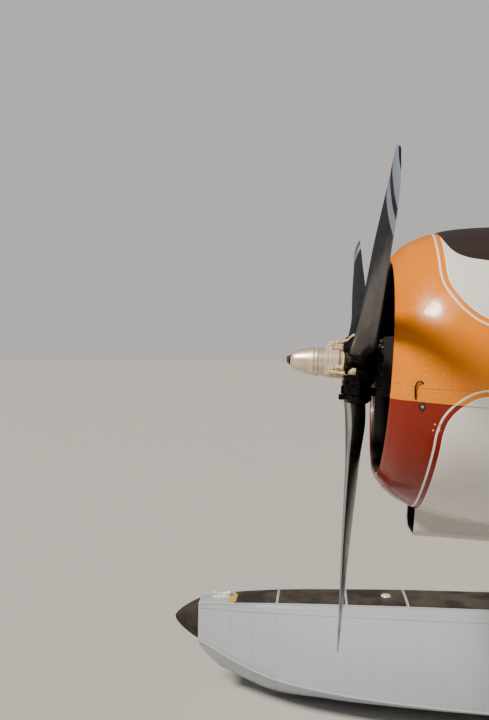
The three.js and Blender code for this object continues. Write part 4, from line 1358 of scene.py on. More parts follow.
class AddScoop(bpy.types.Operator):
    """Adds the air scoop under the cowl: a trough with quarter-round lower corners, swept aft along the
    belly, flat black inside as painted shade, with a doubler behind its mouth, and the exhaust pipe, a circle
    swept along a bend"""

    bl_idname = "floatplane.add_scoop"
    bl_label = "Scoop and Exhaust"

    def execute(self, context):
        stations = np.concatenate([[0.268, 0.270], np.linspace(0.30, 1.62, 40)])
        skin_rows, inner = trough(stations, 0.0, 0.004), trough(stations, 0.003, 0.004)
        forms = [shell(skin_rows, inner)]
        doubler = np.array([0.2685, 0.2700, 0.2880, 0.2886])
        lifted = trough(doubler, -0.0016, 0.004)
        forms.append(shell(lifted, trough(doubler, 0.001, 0.004)))
        # The duct's lining, its roof and the wall across it are flat black: painted shade inside the scoop.
        duct = trough(np.linspace(0.272, 0.98, 30), 0.0042, 0.001)
        forms.append(shell(duct, trough(np.linspace(0.272, 0.98, 30), 0.0055, 0.001), 1))
        roof_at = np.linspace(0.275, 0.98, 24)[:, None]
        across = np.linspace(-0.108, 0.108, 14)[None] + 0 * roof_at
        roof = np.stack([across, roof_at + 0 * across, belly(roof_at + 0 * across, across) - 0.002], -1)
        forms.append(shell(roof, roof - [0, 0, 0.0012], 1))
        # Walls across its aft end and across the duct inside.
        for station, inset, finish in ((1.617, 0.001, 0), (0.975, 0.005, 1)):
            row = trough([station], inset, 0.004)[0]
            wall = np.stack([row[:18], row[:17:-1]])
            forms.append(shell(wall, wall - [0, 0.002, 0], finish))
        row = np.arange(0.31, 1.60, 0.034)
        for side in (1, -1):
            for z in (np.interp(row, [0.268, 1.64], [-0.640, -0.636]), belly(row, 0.115) - 0.012):
                spots = np.stack([np.full(len(row), side * 0.115), row, z], -1)
                forms.append(wall_rivets([spots], [side, 0, 0], SMALL_RIVET))
        piece(
            "scoop", forms, [white_enamel(), inside_black()], "airframe", ["intake_scoop"], "white_enamel",
            35,
        )

        path = curve([
            [-0.25, 0.86, -0.39], [-0.325, 1.02, -0.56], [-0.352, 1.21, -0.722], [-0.352, 1.44, -0.77]
        ], 60)
        outer = bar_rows(path, 0.0440, 32)
        inner = bar_rows(path, 0.0415, 32)[-14:][::-1]
        clamp = [tube(path[k : k + 4], 0.0462, 32) for k in (20, 40)]
        piece(
            "exhaust", [capped(np.concatenate([outer, inner])), *clamp], [exhaust_steel()], "airframe",
            ["exhaust_pipe"], "engine_iron", 40,
        )
        return {"FINISHED"}


class AddEngine(bpy.types.Operator):
    """Adds the radial engine: cases r(y) turned about the thrust axis, and nine cylinders, each a barrel and
    a head r(z) cut into fins, with rocker boxes, pushrod tubes, plugs and their leads"""

    bl_idname = "floatplane.add_engine"
    bl_label = "Engine"

    def execute(self, context):
        # The cases are flat black: painted shade that sinks them into the dark inside the cowl.
        cases = lathe([
            [0.0, 0.076], [0.055, 0.078], [0.09, 0.08], [0.092, 0.092], [0.126, 0.1], [0.13, 0.108],
            [0.135, 0.15], [0.15, 0.182], [0.19, 0.215], [0.228, 0.24], [0.236, 0.255], [0.236, 0.3],
            [0.244, 0.306], [0.244, 0.322], [0.232, 0.33], [0.232, 0.545], [0.21, 0.6], [0.19, 0.64],
            [0.19, 0.9995], [0.0, 0.9995],
        ], 72, finish=4)
        turns = about_aft(np.radians(np.arange(9) * 40.0))
        fins = np.arange(20)
        heights = 0.255 + fins[:, None] * 0.0092 + np.array([0, 0.0022, 0.0034, 0.0066])
        barrel = np.stack([
            np.broadcast_to([0.06, 0.074, 0.074, 0.06], heights.shape), heights
        ], -1).reshape(-1, 2)
        foot = [[0.0, 0.22], [0.078, 0.225], [0.078, 0.24], [0.060, 0.245]]
        barrel = lathe(np.concatenate([foot, barrel, [[0.0, 0.445]]]), 24, "z", finish=1)
        tops = 0.442 + np.arange(13)[:, None] * 0.0088 + np.array([0, 0.0024, 0.0030, 0.0062])
        flare = np.linspace(0.090, 0.074, 13)[:, None]
        head = np.stack([flare * [0.86, 1, 1, 0.86], tops], -1).reshape(-1, 2)
        head = lathe(
            np.concatenate([[[0.0, 0.436]], head, [[0.05, 0.558], [0.0, 0.5585]]]), 24, "z", finish=0
        )
        box_outline = rounded_box((-0.026, -0.034), (0.026, 0.034), 0.014)
        rocker = copies(
            slab(box_outline, 0.0, 0.04, 0.005, finish=0),
            [[0.045, -0.032, 0.522], [-0.045, -0.032, 0.522]],
            facing([[0.5, -0.25, 1], [-0.5, -0.25, 1]], (0, 1, 0)),
        )
        rods = []
        for side in (-1, 1):
            rods.append(tube([
                [side * 0.03, -0.185, 0.15], [side * 0.036, -0.12, 0.3], [side * 0.046, -0.052, 0.52]
            ], 0.0095, 10, 2))
        plug = tube([[0.0, -0.075, 0.470], [0.0, -0.102, 0.480]], 0.0085, 10, 2)
        lead = tube(
            curve([
                [0.0, -0.1, 0.48], [0.012, -0.128, 0.455], [0.03, -0.132, 0.39], [0.02, -0.15, 0.3],
                [0.0, -0.165, 0.232],
            ], 20),
            0.0042, 8, 3,
        )
        one = [copies(form, [[0, 0.43, 0]]) for form in (barrel, head, rocker, *rods, plug, lead)]
        cylinders = [copies(form, turns=turns) for form in one]
        hoop = [
            [0.214 + 0.012 * math.cos(a), 0.262 + 0.012 * math.sin(a)]
            for a in np.radians(np.arange(0, 360, 30))
        ]
        harness = lathe(hoop, 72, ring=True, finish=3)
        bolts = np.radians(np.arange(0, 360, 20) + 5)
        forward = facing(np.tile([0.0, -1, 0], (18, 1)), (1, 0, 0))
        round_case = copies(hexagon_bolt(0.012, 0.009, 2), around_axis(0.111, bolts, 0.0965), forward)
        baffle = lathe([
            [0.575, 0.56], [0.592, 0.558], [0.592, 0.566], [0.24, 0.566], [0.24, 0.56]
        ], 96, ring=True, finish=4)
        shapes = [cases, *cylinders, harness, round_case, baffle]
        finishes = [
            cast_aluminium(), finned_iron(), sooty_steel(), black_rubber(), inside_black(),
            crankcase_enamel(),
        ]
        piece("radial_engine", shapes, finishes, "airframe", ["engine"], "engine_iron", 35)
        return {"FINISHED"}


# Nose, cabin and tail.

CABIN_FRAMES = [
    [1.7504, 0.64, 1.0, -0.66, 0.11], [3.7, 0.64, 1.0, -0.66, 0.11], [4.45, 0.606, 0.952, -0.606, 0.125]
]
TAIL_FRAMES = [
    [4.4504, 0.606, 0.952, -0.606, 0.125],
    [5.500, 0.440, 0.838, -0.425, 0.140],
    [6.500, 0.275, 0.700, -0.220, 0.120],
    [7.500, 0.132, 0.566, -0.010, 0.080],
    [8.112, 0.062, 0.486, 0.116, 0.050],
]


def body_rows(frames, stations, grow=0.0, count=112):
    """Rings across the body at stations between its frames, each with the same number of places around."""
    frames = np.array(frames)
    rows = []
    for station in stations:
        half, top, bottom, corner = (np.interp(station, frames[:, 0], frames[:, k]) for k in range(1, 5))
        w, t, b = half + grow, top + grow, bottom - grow
        r = min(corner + grow, 0.97 * w, 0.485 * (t - b))
        outline = rounded_box((-w, b), (w, t), r, 14)
        outline = np.concatenate([outline, outline[:1]])
        along = lengths(outline)
        rows.append(np.column_stack([
            np.interp(np.linspace(0, along[-1], count + 1)[:-1], along, outline[:, k]) for k in (0, 1)
        ]))
    ring = np.array(rows)
    places = np.broadcast_to(np.asarray(stations, float)[:, None, None], ring.shape[:2] + (1,))
    return np.concatenate([ring[..., :1], places, ring[..., 1:]], -1)


def ring_rivets(frames, stations, count, keep=1, reach=0.02):
    """Rivets on rings across the body: each normal is along the ring crossed with aft, turned outwards."""
    rings, behind = (body_rows(frames, np.array(stations) + off, count=count) for off in (0.0, reach))
    normals = unit(np.cross(np.roll(rings, -1, 1) - np.roll(rings, 1, 1), behind - rings))
    normals *= np.sign(np.sum(normals * (rings - rings.mean(1, keepdims=True)), -1, keepdims=True))
    return rivet_rows(
        rings[:, ::keep].reshape(-1, 3), normals[:, ::keep].reshape(-1, 3), SMALL_RIVET, sides=5
    )


class AddNose(bpy.types.Operator):
    """Adds the nose behind the cowl: rings with round corners at stations between frames, and rivets"""

    bl_idname = "floatplane.add_nose"
    bl_label = "Nose Section"

    def execute(self, context):
        stations = np.concatenate([[1.0], np.linspace(1.01, 1.74, 24), [1.75]])
        shapes = [capped(body_rows(NOSE_FRAMES, stations, count=224))]
        shapes.append(ring_rivets(NOSE_FRAMES, [1.150, 1.185, 1.440, 1.475, 1.715], 110))
        piece("nose_skin", shapes, [body_enamel()], "airframe", ["nose_section"], "nose_enamel", 35)
        return {"FINISHED"}


def eased_copy(name, nodes, finish, body, slot, width=0.004, crease=35):
    """A piece from the frame's own nodes: points welded, flat faces merged, outer edges rounded over."""
    made = bpy.data.objects.new(name, bpy.data.meshes.new(name))
    work = bmesh.new()
    for node in nodes:
        work.from_mesh(frame["nodes"][node].data)
    bmesh.ops.remove_doubles(work, verts=work.verts, dist=1e-5)
    bmesh.ops.dissolve_limit(work, angle_limit=math.radians(0.5), verts=work.verts, edges=work.edges)
    edges = [edge for edge in work.edges if edge.is_manifold and edge.calc_face_angle() > math.radians(28)]
    bmesh.ops.bevel(
        work, geom=edges, offset=width, segments=2, profile=0.5, affect="EDGES", clamp_overlap=True
    )
    bmesh.ops.triangulate(work, faces=work.faces)
    for face in work.faces:
        face.smooth = True
        face.material_index = 0
    work.to_mesh(made.data)
    work.free()
    made.data.materials.clear()
    made.data.materials.append(finish)
    made.data.set_sharp_from_angle(angle=math.radians(crease))
    bpy.context.scene.collection.objects.link(made)
    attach(made, body)
    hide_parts(*nodes)
    return made


def eased_pair(name, nodes, finish, body, slot, **more):
    """A piece from frame nodes on each side. SIDE in a name stands for port or starboard."""
    for side in ("port", "starboard"):
        eased_copy(
            f"{name}_{side}", [f"{node}_{side}" for node in nodes], finish, body.replace("SIDE", side),
            slot, **more,
        )


def both_sides(name, forms, finishes, body="airframe", stands_for=(), slot="white_enamel", **more):
    """A piece given on the port side, and its mirror image."""
    for side, shapes in (("port", forms), ("starboard", mirrored(forms))):
        replaced = [f"{node}_{side}" for node in stands_for]
        piece(f"{name}_{side}", shapes, finishes, body.replace("SIDE", side), replaced, slot, **more)


def row_of(start, end, pitch):
    """Places from start to end about a pitch apart."""
    start, end = np.asarray(start, float), np.asarray(end, float)
    count = max(int(np.linalg.norm(end - start) / pitch), 1) + 1
    return start + (end - start) * np.linspace(0, 1, count)[:, None]


def wall_rivets(places, normal, radius=None, finish=0):
    """Rivets at places on a flat wall."""
    places = np.concatenate(places)
    return rivet_rows(
        places, np.tile(np.asarray(normal, float), (len(places), 1)), radius, finish=finish, sides=5
    )


HALF_WIDTH = 0.640
# Outlines on the wall, as station and height: corners in turn, or the low corner and the high one.
CREW_DOOR = [[1.860, -0.360], [2.490, -0.360], [2.490, 0.830], [2.060, 0.830], [1.860, 0.625]]
CREW_WINDOW = [[1.925, 0.150], [2.425, 0.150], [2.425, 0.765], [2.095, 0.765], [1.925, 0.595]]
CABIN_DOOR = [[2.640, -0.360], [3.640, 0.640]]
CABIN_WINDOW = [[2.750, 0.110], [3.530, 0.545]]
REAR_WINDOW = [[3.850, 0.130], [4.260, 0.540]]
DOOR_GAP = 0.007
HINGE_STATIONS, HINGE_HEIGHTS = (1.867, 2.647), (-0.20, 0.40)


def frame_strip(outline, width, lift=0.0022, at=HALF_WIDTH, finish=0, sink=0.004):
    """A raised strip around a window or door on the port wall: the outline's band, standing off the skin."""
    outer = np.asarray(outline, float)
    inner = inset(outer, width)
    rows = [
        np.column_stack([line, np.full(len(line), x)])
        for line, x in ((outer, at - sink), (outer, at + lift), (inner, at + lift), (inner, at - sink))
    ]
    return skin(np.array(rows)[:, :, AXIS_ORDER["x"]], ring=True, finish=finish)


def dense(outline, pitch=0.03):
    """A closed outline with places added along its sides."""
    p = np.concatenate([outline, outline[:1]])
    along = lengths(p)
    at = np.unique(np.concatenate([along[:-1], np.arange(0, along[-1], pitch)]))
    return np.stack([np.interp(at, along, p[:, k]) for k in (0, 1)], 1)


def corners_rounded(outline, radius, steps=6):
    """A closed outline with each corner as a quarter-like curve of several steps."""
    p = np.asarray(outline, float)
    back, ahead = unit(np.roll(p, 1, 0) - p), unit(np.roll(p, -1, 0) - p)
    first, last = p + back * radius, p + ahead * radius
    u = np.linspace(0, 1, steps + 1)[None, :, None]
    bend = (1 - u) ** 2 * first[:, None] + 2 * u * (1 - u) * p[:, None] + u**2 * last[:, None]
    return bend.reshape(-1, 2)


class AddCabin(bpy.types.Operator):
    """Adds the cabin: walls, roof, floor and windscreen posts from the frame with their edges eased, the rear
    windows' seals, and rivets along the wall's frames and around its openings"""

    bl_idname = "floatplane.add_cabin"
    bl_label = "Cabin"

    def execute(self, context):
        eased_copy("cabin_roof_skin", ["cabin_roof"], white_enamel(), "airframe", "white_enamel")
        eased_copy("cabin_floor_skin", ["cabin_floor"], body_enamel(), "airframe", "white_enamel")
        eased_pair("cabin_wall", ["cabin_side"], body_enamel(), "airframe", "white_enamel", width=0.003)
        eased_copy(
            "windscreen_posts", ["windscreen_frame"], white_enamel(), "airframe", "white_enamel",
            width=0.005,
        )

        rear = rounded_box(*REAR_WINDOW, 0.120, 10)
        trim = [frame_strip(inset(rear, -0.022), 0.030, 0.003, finish=1)]
        # Rivets around the door openings and along the frames and longerons of the wall.
        crew = dense(corners_rounded(inset(CREW_DOOR, -0.022), 0.02), 0.028)
        cabin = dense(inset(rounded_box(*CABIN_DOOR, 0.07, 8), -0.022), 0.028)
        rim = dense(inset(rear, -0.036), 0.028)
        face = HALF_WIDTH
        spots = [np.column_stack([np.full(len(line), face), line]) for line in (crew, cabin, rim)]
        for station in (1.772, 2.565, 3.745, 3.800):
            spots.append(row_of([face, station, -0.52], [face, station, 0.86], 0.032))
        for height in (-0.45, 0.87):
            spots.append(row_of([face, 1.79, height], [face, 3.69, height], 0.032))
        trim.append(wall_rivets(spots, [1, 0, 0], SMALL_RIVET))
        both_sides("cabin_trim", trim, [body_enamel(), black_rubber(), plated_steel()], crease=35)
        return {"FINISHED"}


def door_handle(at, finish=1):
    """A door's outside handle: a round boss and a tapered grip that lies along the skin."""
    y, z = at
    boss = copies(
        lathe([
            [0.0, -0.004], [0.022, -0.004], [0.023, 0.002], [0.017, 0.008], [0.0, 0.01]
        ], 24, "z", finish=finish),
        [[HALF_WIDTH, y, z]], facing([[1, 0, 0]]),
    )
    path = curve([
        [HALF_WIDTH + 0.006, y, z], [HALF_WIDTH + 0.026, y + 0.006, z],
        [HALF_WIDTH + 0.03, y + 0.045, z - 0.003], [HALF_WIDTH + 0.028, y + sizes().handle, z - 0.008],
    ], 24)
    grip = tube(
        path, np.interp(np.linspace(0, 1, 24), [0, 0.3, 0.9, 1], [0.009, 0.0085, 0.0075, 0.004]), 12, finish
    )
    return [boss, grip]


def strap_hinge(station, height, ahead, finish=0):
    """Half of a door's hinge: a plate on one side of the gap, with four heads."""
    y0, y1 = sorted([station, station + ahead * 0.055])
    plate = slab(
        rounded_box((y0, height - 0.028), (y1, height + 0.028), 0.008), HALF_WIDTH - 0.002,
        HALF_WIDTH + 0.003, 0.0008, "x", finish,
    )
    heads = copies(
        stud(0.0045, 0.002, 8, finish),
        [
            [HALF_WIDTH + 0.003, station + ahead * along, height + up]
            for along in (0.02, 0.042)
            for up in (-0.016, 0.016)
        ],
        facing(np.tile([1.0, 0, 0], (4, 1))),
    )
    return [plate, heads]


class AddDoors(bpy.types.Operator):
    """Adds the crew's and the cabin's doors on both sides: the frame's doors with their edges eased, raised
    window strips, stiffening beads, handles, hinges and rivets"""

    bl_idname = "floatplane.add_doors"
    bl_label = "Doors"

    def execute(self, context):
        crew = corners_rounded(inset(CREW_DOOR, DOOR_GAP), 0.02), corners_rounded(CREW_WINDOW, 0.03)
        cabin = inset(rounded_box(*CABIN_DOOR, 0.07, 8), DOOR_GAP), rounded_box(*CABIN_WINDOW, 0.095, 10)
        doors = [
            ("crew_door", crew, (2.355, 0.045), HINGE_STATIONS[0]),
            ("cabin_door", cabin, (3.485, 0.035), HINGE_STATIONS[1]),
        ]
        for name, (edge, pane), handle, hinge_at in doors:
            body = name + "_SIDE"
            eased_pair(name + "_skin", [name], body_enamel(), body, "white_enamel", width=0.003)
            forms = [frame_strip(inset(pane, -0.020), 0.026, 0.003, finish=2)]
            rows = [dense(inset(edge, 0.016), 0.028), dense(inset(pane, -0.034), 0.028)]
            spots = [np.column_stack([np.full(len(line), HALF_WIDTH), line]) for line in rows]
            forms.append(wall_rivets(spots, [1, 0, 0], SMALL_RIVET))
            forms += door_handle(handle)
            for height in HINGE_HEIGHTS:
                forms += strap_hinge(hinge_at + 0.004, height, 1)
            # A pressed bead along the lower panel.
            low, high = edge[:, 0].min() + 0.07, edge[:, 0].max() - 0.07
            bead = tube(row_of([HALF_WIDTH, low, -0.17], [HALF_WIDTH, high, -0.17], 0.05), 0.005, 8)
            forms.append(bead)
            both_sides(
                name + "_trim", forms, [body_enamel(), plated_steel(), black_rubber()], body, crease=35
            )
        # The hinges' fixed halves stay on the wall.
        fixed = []
        for station in HINGE_STATIONS:
            for height in HINGE_HEIGHTS:
                fixed += strap_hinge(station - 0.011, height, -1)
        both_sides("door_hinges", fixed, [body_enamel()], crease=35)
        return {"FINISHED"}


def tail_rows(span, front, back, half):
    """Rows of a fixed tail surface along its span: thickness, station and span of each place."""
    section = surface_nose()[None]
    station = front[:, None] + section[..., 0] * np.reshape(back - front, (-1, 1))
    return section[..., 1] * half[:, None], station, span[:, None] + 0 * section[..., 0]


class AddTail(bpy.types.Operator):
    """Adds the rear fuselage, fin, under-fin and tailplane: rings with round corners aft of the cabin, and
    surfaces with a rounded nose, point = (t(u), front + u (back - front), height)"""

    bl_idname = "floatplane.add_tail"
    bl_label = "Tail"

    def execute(self, context):
        stations = np.concatenate([[TAIL_FRAMES[0][0]], np.linspace(4.5, 8.10, 46), [8.112]])
        outer = body_rows(TAIL_FRAMES, stations, count=96)
        inner = body_rows(TAIL_FRAMES, stations, -0.028, 96)
        keep = len(stations) - 8
        # A hollow skin open to the cabin: out along the outside, back along the inside.
        closed_end = np.broadcast_to(outer[-1].mean(0), outer[-1].shape)[None]
        inside_end = np.broadcast_to(inner[keep].mean(0), inner[keep].shape)[None]
        hollow = skin(np.concatenate([inside_end, inner[: keep + 1][::-1], outer, closed_end]))
        forms = [hollow]
        rivets_at = [4.475, 4.52, 4.95, 5.45, 5.95, 6.45, 6.95, 7.45, 7.90]
        forms.append(ring_rivets(TAIL_FRAMES, rivets_at, 160, 2, 0.025))
        piece("tail_cone", forms, [body_enamel()], "airframe", ["rear_fuselage"], "white_enamel", 35)

        # height, front, half thickness
        fin = np.array([
            [0.38, 6.05, 0.03], [0.56, 6.45, 0.032], [0.7, 7.02, 0.036], [0.86, 7.27, 0.042],
            [1.15, 7.43, 0.042], [1.42, 7.59, 0.038], [1.6, 7.76, 0.032], [1.7, 7.93, 0.024],
        ])
        heights = np.concatenate([np.linspace(0.400, 1.690, 60), [1.697, 1.7]])
        front, half = through(fin[:, 0], fin[:, 1:], heights).T
        half = half * np.where(heights > 1.69, [0.75 if h > 1.699 else 0.94 for h in heights], 1)
        rows = np.stack(tail_rows(heights, front, FIN_BACK, half), -1)
        ribs = []
        for height in (0.80, 1.00, 1.22, 1.44, 1.62):
            f, h = through(fin[:, 0], fin[:, 1:], [height])[0]
            u = np.linspace(0.12, 0.97, int(0.85 * (FIN_BACK - f) / 0.035))
            for side in (1, -1):
                x = side * np.interp(u, *nose_profile().T) * h
                places = np.stack([x, f + u * (FIN_BACK - f), np.full(len(u), height)], -1)
                ribs.append(wall_rivets([places], [side, 0, 0], RIB_RIVET))
        piece("fin_skin", [capped(rows), *ribs], [tail_enamel()], "airframe", ["fin"], "white_enamel", 40)

        under = np.array([[-0.25, 7.42, 8.0], [-0.15, 7.12, 8.06], [-0.02, 6.9, 8.07], [0.16, 6.75, 8.06]])
        heights = np.linspace(-0.250, 0.160, 30)
        front, back = through(under[:, 0], under[:, 1:], heights).T
        half = 0.016 * np.clip((heights + 0.256) / 0.02, 0.3, 1)
        rows = np.stack(tail_rows(heights, front, back, half), -1)
        piece(
            "under_fin_skin", [capped(rows)], [white_enamel()], "airframe", ["ventral_fin"], "white_enamel",
            40,
        )

        # distance out, front, half thickness
        plane = np.array([
            [0.02, 7.12, 0.044], [2.1, 7.39, 0.04], [2.3, 7.48, 0.032], [2.39, 7.6, 0.022],
            [2.415, 7.72, 0.012],
        ])
        back = ELEVATOR_AXIS - 0.052
        out = np.concatenate([np.linspace(0.060, 2.1, 40), np.linspace(2.12, 2.415, 20)])
        front, half = (np.interp(out, plane[:, 0], plane[:, k]) for k in (1, 2))
        thick, station, across = tail_rows(out, front, back, half)
        rows = np.stack([across, station, TAILPLANE_Z + thick], -1)
        forms = [capped(rows)]
        for x in np.arange(0.25, 2.1, 0.265):
            f, h = (np.interp(x, plane[:, 0], plane[:, k]) for k in (1, 2))
            u = np.linspace(0.12, 0.97, 18)
            for side in (1, -1):
                z = TAILPLANE_Z + side * np.interp(u, *nose_profile().T) * h
                places = np.stack([np.full(len(u), x), f + u * (back - f), z], -1)
                forms.append(wall_rivets([places], [0, 0, side], RIB_RIVET))
        both_sides("tailplane_skin", forms, [tailplane_enamel()], stands_for=["tailplane"], crease=40)
        return {"FINISHED"}


FIN_BACK, RUDDER_AXIS = 8.106, 8.168  # stations
TAILPLANE_Z, ELEVATOR_AXIS = 0.430, 7.990  # a height and a station


def nose_profile():
    """Half thickness of a fixed tail surface over its chord: a round nose, then nearly flat."""
    u = np.concatenate([0.5 * (1 - np.cos(np.linspace(0, math.pi, 24))) * 0.38, np.linspace(0.42, 1, 10)])
    t = np.interp(u, [0, 0.02, 0.09, 0.2, 0.38, 1], [0, 0.30, 0.62, 0.88, 1, 0.9])
    t[:24] = np.sqrt(np.clip(1 - (1 - u[:24] / 0.38) ** 2.4, 0, 1))
    return np.stack([u, np.minimum(t, 1)], 1)


def surface_nose():
    """A fixed tail surface's closed section, as share of the chord and of the half thickness."""
    upper = nose_profile()
    lower = upper[:0:-1] * [1, -1]
    return np.concatenate([upper, lower])


def moving_section(nose, radius, edge, thin=TRAILING_EDGE, steps=14, along=10):
    """A hinged surface's closed section: half a circle about the hinge, and straight sides to the edge."""
    nose, edge = np.asarray(nose, float), np.asarray(edge, float)
    slope = math.atan2(edge[1] - nose[1], edge[0] - nose[0])
    turn = slope + math.pi / 2 + np.linspace(0, math.pi, steps + 1)
    arc = nose + radius * np.stack([np.cos(turn), np.sin(turn)], 1)
    low, high = edge - [0, thin], edge + [0, thin]
    u = np.linspace(0, 1, along + 1)[1:, None]
    back = edge + [0.001, 0]
    return np.concatenate([
        arc, arc[-1] + u * (low - arc[-1]), [back], high + (u - 1 / along) * (arc[0] - high)
    ])


class AddTailSurfaces(bpy.types.Operator):
    """Adds the rudder and elevators: half a circle of the nose radius about the hinge, with straight sides to
    the trailing edge, at places along the hinge where a table gives both"""

    bl_idname = "floatplane.add_tail_surfaces"
    bl_label = "Rudder and Elevators"

    def execute(self, context):
        table = np.array([
            [0.128, 8.52], [0.24, 8.69], [0.48, 8.795], [0.8, 8.816], [1.15, 8.775], [1.45, 8.67],
            [1.62, 8.53], [1.715, 8.37],
        ])
        heights = np.linspace(0.128, 1.715, 70)
        edges = through(table[:, 0], table[:, 1], heights) - 0.005
        radii = np.interp(heights, [0.128, 0.17, 1.45, 1.62, 1.715], [0.034, 0.038, 0.038, 0.031, 0.024])
        rows = np.array([
            np.column_stack([s[:, 1], s[:, 0], np.full(len(s), z)])
            for z, e, r in zip(heights, edges, radii)
            for s in [moving_section([RUDDER_AXIS, 0], r, [e, 0])]
        ])
        forms = [capped(rows)]
        # Ribs stand a little proud under the skin.
        for z in np.arange(0.30, 1.62, 0.22):
            e = through(table[:, 0], table[:, 1], [z])[0]
            y = np.linspace(RUDDER_AXIS + 0.02, e - 0.03, 16)
            x = 0.038 + (TRAILING_EDGE - 0.038) * (y - RUDDER_AXIS) / (e - RUDDER_AXIS)
            for side in (1, -1):
                forms.append(tube(np.stack([side * (x - RIB_SUNK), y, np.full(16, z)], -1), RIB_RADIUS, 6))
        horn = slab(rounded_box((-0.085, 8.150), (0.085, 8.186), 0.012), 0.118, 0.128, 0.002, "z", 1)
        piece(
            "rudder_skin", forms + [horn], [tail_enamel(), plated_steel()], "rudder", ["rudder"],
            "white_enamel", 40,
        )

        table = np.array([
            [0.105, 8.05, 0.036], [0.3, 8.44, 0.036], [2.0, 8.42, 0.035], [2.24, 8.34, 0.028],
            [2.38, 8.18, 0.02], [2.415, 8.08, 0.012],
        ])
        out = np.concatenate([[0.105], np.linspace(0.12, 2.38, 60), [2.40, 2.415]])
        edges, radii = (np.interp(out, table[:, 0], table[:, k]) for k in (1, 2))
        rows = np.array([
            np.column_stack([np.full(len(s), x), s])
            for x, e, r in zip(out, edges, radii)
            for s in [moving_section([ELEVATOR_AXIS, TAILPLANE_Z], r, [e, TAILPLANE_Z])]
        ])
        forms = [capped(rows)]
        for x in np.arange(0.42, 2.1, 0.265):
            e = np.interp(x, table[:, 0], table[:, 1])
            y = np.linspace(ELEVATOR_AXIS + 0.02, e - 0.03, 12)
            z = 0.0355 + (TRAILING_EDGE - 0.0355) * (y - ELEVATOR_AXIS) / (e - ELEVATOR_AXIS)
            for side in (1, -1):
                forms.append(tube(
                    np.stack([np.full(12, x), y, TAILPLANE_Z + side * (z - RIB_SUNK)], -1), RIB_RADIUS, 6
                ))
        both_sides("elevator_skin", forms, [tailplane_enamel()], "elevators", ["elevator"], crease=40)
        return {"FINISHED"}


# Wings.

WING_CHORD, WING_FRONT, WING_Z = 1.588, 2.050, 0.960  # the leading edge at the root
WING_ROOT, WING_TIP = 0.641, 7.315
LIFT = math.tan(math.radians(2))  # the wing's rise for each metre out
SURFACE_NOSE = 0.79  # the hinge's place along the chord
SURFACE_RADIUS = 0.059  # of the flap's and aileron's round nose
FLAP, AILERON = (0.680, 4.120), (4.140, 6.960)  # from and to, out from the middle
COVE = SURFACE_NOSE - (SURFACE_RADIUS + 0.015) / WING_CHORD  # where the wing ends ahead of them
# How the tip draws in: distance out and share of the chord.
TIP_SHRINK = [
    [7.0, 1.0], [7.1, 0.975], [7.19, 0.93], [7.245, 0.865], [7.28, 0.78], [7.305, 0.65], [7.315, 0.52]
]


def foil(u):
    """Heights of the wing section's top, bottom and middle for a chord of 1: camber and half thickness."""
    u = np.asarray(u, float)
    mean = np.where(u < 0.4, 0.04 / 0.16 * (0.8 * u - u**2), 0.04 / 0.36 * (0.2 + 0.8 * u - u**2))
    half = 0.8 * (0.2969 * np.sqrt(u) - 0.126 * u - 0.3516 * u**2 + 0.2843 * u**3 - 0.1015 * u**4)
    return mean + half, mean - half, mean


def on_wing(x, u, top=True, lift=0.0, shrink=1.0):
    """A place on the port wing's skin: distance out, share of the chord, top or bottom, height off it."""
    x, u = np.broadcast_arrays(np.asarray(x, float), np.asarray(u, float))
    upper, lower, _ = foil(u)
    height = upper + lift / WING_CHORD if top else lower - lift / WING_CHORD
    chord = WING_CHORD * shrink
    front = WING_FRONT + (WING_CHORD - chord) * 0.45
    return np.stack([x, front + u * chord, WING_Z + LIFT * (x - WING_ROOT) + height * chord], -1)


def wing_normals(x, u, top=True):
    """Normals of the wing's skin: along the chord crossed with along the span."""
    ahead = on_wing(x, np.clip(u + 0.004, 0, 1), top) - on_wing(x, np.clip(u - 0.004, 0, 1), top)
    return unit(np.cross(ahead, [1, 0, LIFT])) * (-1 if top else 1)


def wing_hinge():
    """The hinge of flap and aileron: station and height at the wing's root, on the section's middle."""
    return WING_FRONT + SURFACE_NOSE * WING_CHORD, WING_Z + float(foil(SURFACE_NOSE)[2]) * WING_CHORD


def wing_section(x, last=1.0, shrink=1.0, count=44):
    """The wing's closed section at one place out, from the trailing edge over the top and back underneath."""
    u = last * (1 - np.cos(np.linspace(0, math.pi / 2, count)))
    top, bottom = on_wing(x, u, True, 0.0, shrink), on_wing(x, u, False, 0.0, shrink)
    return np.concatenate([top[::-1], bottom[1:]])


